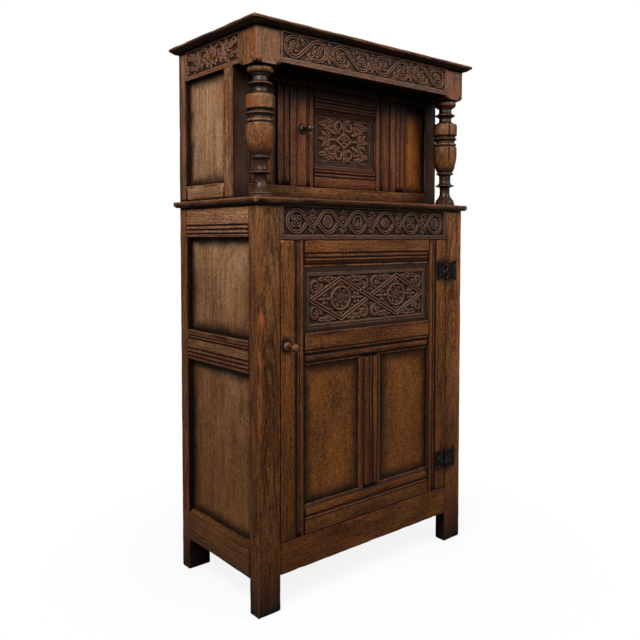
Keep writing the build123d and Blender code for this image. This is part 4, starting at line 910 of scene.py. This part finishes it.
front_end, back_end = -0.110, 0.173
for side_name, side in (("left", -1), ("right", 1)):
    leaves = Carving((back_end - front_end) * 1000, frieze_height, 0.7)
    centre, middle = (back_end - front_end) * 500, 45.0
    for flip in (-1, 1):
        arch, end = centre + flip * 40, centre + flip * 100
        leaves.leaf(arch - flip * 4, middle + 14, 270 + flip * 16, 46, 25, 2, bend=flip * 0.12)
        leaves.leaf(arch - flip * 12, middle - 6, 270 - flip * 24, 25, 14, 2)
        leaves.leaf(arch + flip * 12, middle - 4, 270 + flip * 40, 24, 13, 2)
        leaves.hollow(arch, middle + 7, 5, 7, 0.8)
        ribbon = [(centre + flip * 9, middle - 7), (arch - flip * 24, middle - 2)]
        ribbon += arc(arch, middle + 5, 22, 90 + flip * 90, 90 - flip * 90, 21)
        ribbon += [(arch + flip * 25, middle - 9), (arch + flip * 36, middle - 24)]
        ribbon += [(arch + flip * 46, middle - 29)]
        leaves.strap(ribbon, 5.2)
        leaves.leaf(end - flip * 26, middle - 14, 90 - flip * 38, 62, 31, 3, bend=flip * -0.12)
        leaves.leaf(end - flip * 18, middle - 20, 90 - flip * 82, 46, 19, 2, bend=flip * 0.10)
        leaves.leaf(end - flip * 28, middle + 4, 90 - flip * 8, 30, 15, 2)
        leaves.curl(end + flip * 14, middle + 16, 13, 90 + flip * 130, flip * -1.1, 4.2)
        leaves.leaf(end + flip * 30, middle - 4, 270 - flip * 10, 26, 13, 2)
    leaves.fan(centre, middle + 4, 90, 62, 3, 31, 13)
    leaves.fan(centre, middle - 10, 270, 84, 3, 25, 12)
    leaves.bars(centre, middle, (-10, -5, 0), 2.1)
    leaves.border(7, 11, 7, 6)
    origin = (side * -case_left, front_end if side > 0 else back_end, frieze_low.z)
    carve(
        f"side_frieze_{side_name}", leaves, oak_carved_side, origin, frieze_thickness,
        run=(0, side, 0), out=(side, 0, 0),
    )

# ---------------------------------------------------------------- soffit of the canopy
# A thin board under the canopy, between the friezes and the cabinet. It is coloured nearly black, as painted
# shade.

shadow_black_soffit_colours = (
    (0.0045, 0.0022, 0.0014), (0.0085, 0.004, 0.0022), (0.014, 0.0066, 0.0036), (0.04, 0.02, 0.01),
)
finish_plain("canopy_soffit", oak("oak, soffit", "X", shadow_black_soffit_colours, gloss=0.75, shine=0.05))

# ---------------------------------------------------------------- top board
# One wide oak board with a thin nose planed over a long bevel, nailed down on the posts and friezes.
# Its edge is knocked like that of the waist board.

worn("top_board", "XY", oak_board, arris=0.0008, wave=0.0008, knocks=0.0035, step=0.014)

# ---------------------------------------------------------------- lower door
# Moulded oak stiles and rails, tenoned together round a long carved panel above and two quarter-sawn panels
# below. The wood is black from hands round the knob, and from rust round the hinges.

door_colours = (0.022, 0.0075, 0.0022), (0.098, 0.035, 0.009), (0.215, 0.084, 0.024), (0.34, 0.115, 0.036)
chipped_corner = spots(door_colours[-1], 0.02, 0.5, (-0.322, -0.186, 0.974, 0.009))
# Painted light: the door's stiles are lighter towards the right.
oak_door_upright = oak(
    "oak, door, grain upright", "Z", door_colours, edged, fittings, chipped_corner, reach=0.008,
    lean=(0.84, 1.16),
)
oak_door_across = oak("oak, door, grain across", "X", door_colours, edged, reach=0.008)
for node in ("lower_door_stile_left", "lower_door_stile_right", "lower_door_muntin"):
    worn(node, "Z", oak_door_upright, arris=0.0012, wave=0.0008)
for node in ("lower_door_top_rail", "lower_door_middle_rail", "lower_door_bottom_rail"):
    worn(node, "X", oak_door_across, arris=0.0012, wave=0.0008)
quarter_colours = (0.036, 0.011, 0.0026), (0.118, 0.041, 0.008), (0.215, 0.081, 0.0185), (0.33, 0.14, 0.04)
oak_quartered = oak(
    "oak, quarter-sawn panel", "Z", quarter_colours, framed,
    gloss=0.42, fleck=0.50, reach=0.006, streaky=0.10,
)
worn("lower_door_plain_panels", "XZ", oak_quartered, **thin_board)

# ---------------------------------------------------------------- carved panel of the lower door
# Two interlaced lozenges of double strapwork, each round a ringed daisy with four buds. Leafy scrolls fill
# the corners, and a scratched line runs round the field.


def sunk(wood):
    """Stain and painted shade along the frame of a carved panel."""
    wood.stain(wood.soot, wood.stored("inset", 0.024), 0.034, 0.010, 0.86)


def blank_panel(node, pitch):
    """An uncut carving as large as a door panel, with its lower corner and its middle."""
    low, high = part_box(node)
    wide, tall = (high.x - low.x) * 1000, (high.z - low.z) * 1000
    return Carving(wide, tall, pitch), tuple(low), wide / 2, tall / 2


straps, panel_corner, cx, cy = blank_panel("lower_door_carved_panel", 1.0)
cy -= 1
half_wide, half_tall = 110.0, 57.0
for flip in (-1, 1):
    outward = 90 - flip * 90
    for up in (-1, 1):
        x, y = cx + flip * 25, cy + up * 43
        straps.leaf(x + flip * 6, y + up * 10, outward + flip * up * 1, 76, 32, 2, bend=flip * up * -0.09)
        straps.leaf(x + flip * 10, y - up * 6, outward - flip * up * 24, 40, 19, 2)
        straps.leaf(cx + flip * 7, cy + up * 17, up * (90 - flip * 18), 30, 15, 2)
        straps.curl(x, y, 19, 270 * up, flip * up * -1.1, 6.2)
        x, y = cx + flip * (2 * half_wide - 17), cy + up * 36
        straps.leaf(x - flip * 10, y + up * 19, 180 - outward - flip * up * 3, 78, 28, 2, flip * up * 0.09)
        straps.leaf(x - flip * 8, y + up * 2, 180 - outward + flip * up * 26, 38, 18, 2)
        straps.leaf(x + flip * 7, y - up * 14, -up * 90 + flip * up * 6, 28, 18, 2)
        straps.curl(x, y + up * 2, 22, 180 + outward, flip * up * 1.15, 6.4)
for flip in (-1, 1):
    x = cx + flip * half_wide
    for out in (-1, 1):
        turn = 90 - out * 90
        straps.fan(x + out * 55, cy, turn, 100, 3, 30, 11)
        straps.leaf(x + out * 50, cy + 3, turn + out * 62, 22, 10, 2)
        straps.leaf(x + out * 50, cy - 3, turn - out * 62, 22, 10, 2)
        straps.strap([(x + out * 36, cy), (x + out * 58, cy)], 4.2, ridges=1)
        straps.ball(x + out * 58, cy, 5.5)
        straps.fan(x, cy + out * 33, out * 90, 120, 3, 18, 9)
        for across in (-1, 1):
            straps.leaf(x + across * 26, cy + out * 28, 90 - across * 90 + across * out * 12, 26, 9, 2)
    straps.strap(arc(x, cy, 33.5, 0, 360, 32), 4.4, ridges=1)
    straps.flower(x, cy, 27, 8, turn=0.2, dish=0.75, wide=1.1)
    straps.hollow(x, cy, 29, 28, 0.30)
corners = {flip: [(cx + flip * half_wide + a, cy + b) for a, b in
                  ((-half_wide, 0), (0, half_tall), (half_wide, 0), (0, -half_tall), (-half_wide, 0))]
           for flip in (-1, 1)}
for flip in (-1, 1):
    straps.strap(corners[flip], 7.2)
slope = half_tall / half_wide
straps.strap([(cx - 34, cy + 34 * slope), (cx + 34, cy - 34 * slope)], 7.2)
straps.border(27, 29, 27, 31, 2.5)
from_sight = straps.from_edge() - panel_tongue * 1000
straps.rise -= 0.28 * np.exp(-(((from_sight - 13.5) / 1.3) ** 2))
oak_straps = oak(
    "oak, carved door panel", "X", carved_colours, carved, sunk, gloss=0.40, shine=0.20, grime_and_shade_share=0.45,
)
carve("lower_door_carved_panel", straps, oak_straps, panel_corner, thickness=0.012, depth=5.0)

# ---------------------------------------------------------------- upper door
# A small framed door like the lower one, hung on hidden pivots.
# Its one panel is carved with sprays of leaves in a bevelled border.

for side_name in ("left", "right"):
    worn(f"upper_door_stile_{side_name}", "Z", oak_shaded_upright, arris=0.0010)
for level in ("bottom", "top"):
    worn(f"upper_door_{level}_rail", "X", oak_shaded_across, arris=0.0010)
foliage, panel_corner, cx, cy = blank_panel("upper_door_carved_panel", 0.7)
for flip in (-1, 1):
    outward = 90 - flip * 90
    foliage.strap([(cx + flip * 24, cy), (cx + flip * 62, cy)], 5.0, ridges=1)
    foliage.fan(cx + flip * 60, cy, outward, 160, 5, 40, 18)
    for up in (-1, 1):
        foliage.leaf(cx + flip * 34, cy + up * 34, outward + flip * up * 16, 66, 38, 2, flip * up * -0.12)
        foliage.leaf(cx + flip * 30, cy + up * 17, outward + flip * up * 22, 40, 17, 0)
        foliage.leaf(cx + flip * 40, cy + up * 55, outward - flip * up * 6, 44, 19, 2)
        foliage.curl(cx + flip * 20, cy + up * 42, 19, 90 * up - 90 + 90 * flip, flip * up * 1.0, 6.4)
        foliage.hollow(cx + flip * 20, cy + up * 42, 8, 10, 0.9)
for up in (-1, 1):
    foliage.leaf(cx, cy + up * 20, up * 90, 46, 17, 2)
foliage.strap([(cx - 28, cy), (cx, cy + 21), (cx + 28, cy), (cx, cy - 21), (cx - 28, cy)], 5.4, ridges=1)
foliage.flower(cx, cy, 14, 5, turn=0.3)
from_sight = foliage.from_edge() - panel_tongue * 1000
foliage.rise = np.where(from_sight > 16, 0.85 * foliage.rise, np.clip(1 - (from_sight - 1) / 13, 0.0, 1))
foliage.rise += 0.40 * np.exp(-(((from_sight - 15) / 1.2) ** 2))
leaf_colours = (0.05, 0.0215, 0.011), (0.105, 0.047, 0.025), (0.175, 0.082, 0.045), (0.33, 0.16, 0.09)
oak_leaves = oak("oak, carved upper panel", "X", leaf_colours, carved, sunk, grime_and_shade_share=0.45, reach=0.008)
carve("upper_door_carved_panel", foliage, oak_leaves, panel_corner, thickness=0.010, depth=5.0)

# ---------------------------------------------------------------- butterfly hinges
# Hand-forged iron leaves with rolled knuckles round a pin, nailed on the leg and on the door.
# They are blackened, with rust in the low places.

iron = bpy.data.materials.new("forged iron")
iron.use_nodes = True
forged = Nodes(iron.node_tree)
here = forged.put("ShaderNodeTexCoord").outputs["Object"]
scale = forged.streaks(here, 160.0, 4.0, 0.6)
rust = forged.fit(forged.streaks(here, 70.0, 3.0), 0.52, 0.68)
bumpy = forged.put("ShaderNodeBump", {"Strength": 0.7, "Distance": 0.0008, "Height": scale})
looks = {
    "Base Color": forged.mix(rust, (0.0070, 0.0062, 0.0056), (0.020, 0.0095, 0.0060)),
    "Metallic": forged.fit(rust, 0.0, 1.0, 0.85, 0.1),
    "Roughness": forged.fit(scale, 0.3, 0.7, 0.45, 0.7),
    "Normal": bumpy.outputs[0],
}
for label, value in looks.items():
    iron.node_tree.links.new(value, iron.node_tree.nodes["Principled BSDF"].inputs[label])
for node in ("hinge_case_leaves", "hinge_door_leaves", "hinge_pins", "upper_door_pivots"):
    finish_plain(node, iron)

# ---------------------------------------------------------------- knobs and catches
# Turned oak knobs, polished by hands. Each has a spindle through its stile, which turns a plain wooden catch
# behind it.

knob_colours = (0.03, 0.0095, 0.0032), (0.085, 0.029, 0.009), (0.15, 0.055, 0.0175), (0.22, 0.08, 0.025)
# The upper knob has the same colours darkened, as painted shade.
for node, share in (("lower_knob", 1.0), ("upper_knob", 0.40)):
    tones = [tuple(part * share for part in colour) for colour in knob_colours]
    finish_plain(node, oak("oak, handled, " + node, "Y", tones, gloss=0.20, shine=0.50))
for node in ("lower_catch", "upper_catch"):
    finish_plain(node, oak_inner)

# ---------------------------------------------------------------- floor, light and camera
# White paper underfoot, a soft box high on the left and a weaker one on the right, as for a catalogue.
# The camera stands off the left front corner, lower than the top of the cupboard.

paper = bpy.data.materials.new("studio floor")
paper.use_nodes = True
sheet = Nodes(paper.node_tree)
seen = sheet.put("ShaderNodeLightPath").outputs["Is Camera Ray"]
matt = paper.node_tree.nodes["Principled BSDF"]
matt.inputs["Roughness"].default_value = 0.9
sheet.tree.links.new(sheet.mix(seen, (0.30, 0.30, 0.30), (0.80, 0.80, 0.80)), matt.inputs["Base Color"])
from_middle = sheet.vector("LENGTH", sheet.put("ShaderNodeTexCoord").outputs["Object"])
hidden = sheet.times(seen, sheet.fit(from_middle, 0.35, 0.95, 0.88, 1.0))
glow = sheet.put("ShaderNodeEmission", {"Color": (1, 1, 1, 1), "Strength": 1.0}).outputs[0]
mixed = sheet.put("ShaderNodeMixShader", {0: hidden, 1: matt.outputs[0], 2: glow}).outputs[0]
sheet.tree.links.new(mixed, paper.node_tree.nodes["Material Output"].inputs["Surface"])
bpy.ops.mesh.primitive_plane_add(size=14, location=(0, 0, 0))
floor = bpy.context.object
floor.name = "studio_floor"
floor.data.materials.append(paper)

world = bpy.data.worlds.new("studio")
bpy.context.scene.world = world
world.use_nodes = True
sky = Nodes(world.node_tree)
seen = sky.put("ShaderNodeLightPath").outputs["Is Camera Ray"]
soft, white = (
    sky.put("ShaderNodeBackground", {"Color": (1, 1, 1, 1), "Strength": strength}).outputs[0]
    for strength in (0.20, 1.0)
)
mixed = sky.put("ShaderNodeMixShader", {0: seen, 1: soft, 2: white}).outputs[0]
sky.tree.links.new(mixed, world.node_tree.nodes["World Output"].inputs["Surface"])


def softbox(name, at, aim_height, size, power):
    """A square studio lamp that looks at the middle of the cupboard."""
    data = bpy.data.lights.new(name, "AREA")
    data.shape = "SQUARE"
    data.size = size
    data.energy = power
    lamp = bpy.data.objects.new(name, data)
    lamp.location = at
    lamp.rotation_mode = "QUATERNION"
    lamp.rotation_quaternion = (Vector((0, 0, aim_height)) - Vector(at)).to_track_quat("-Z", "Y")
    bpy.context.scene.collection.objects.link(lamp)


softbox("key", (-1.75, -1.05, 2.55), aim_height=1.1, size=1.2, power=92)
softbox("fill", (1.4, -2.4, 2.6), aim_height=0.8, size=1.6, power=56)

lens = bpy.data.cameras.new("camera")
lens.lens = 39.198
lens.sensor_width = 36
lens.shift_y = -0.08
camera = bpy.data.objects.new("camera", lens)
turned_right, tipped_down = math.radians(39.855), math.radians(2.492)
camera.location = (-1.3984, -1.6278, 0.9806)
level = math.cos(tipped_down)
looking = (math.sin(turned_right) * level, math.cos(turned_right) * level, -math.sin(tipped_down))
camera.rotation_mode = "QUATERNION"
camera.rotation_quaternion = Vector(looking).to_track_quat("-Z", "Y")
bpy.context.scene.collection.objects.link(camera)
bpy.context.scene.camera = camera
bpy.context.scene.view_settings.view_transform = "Standard"
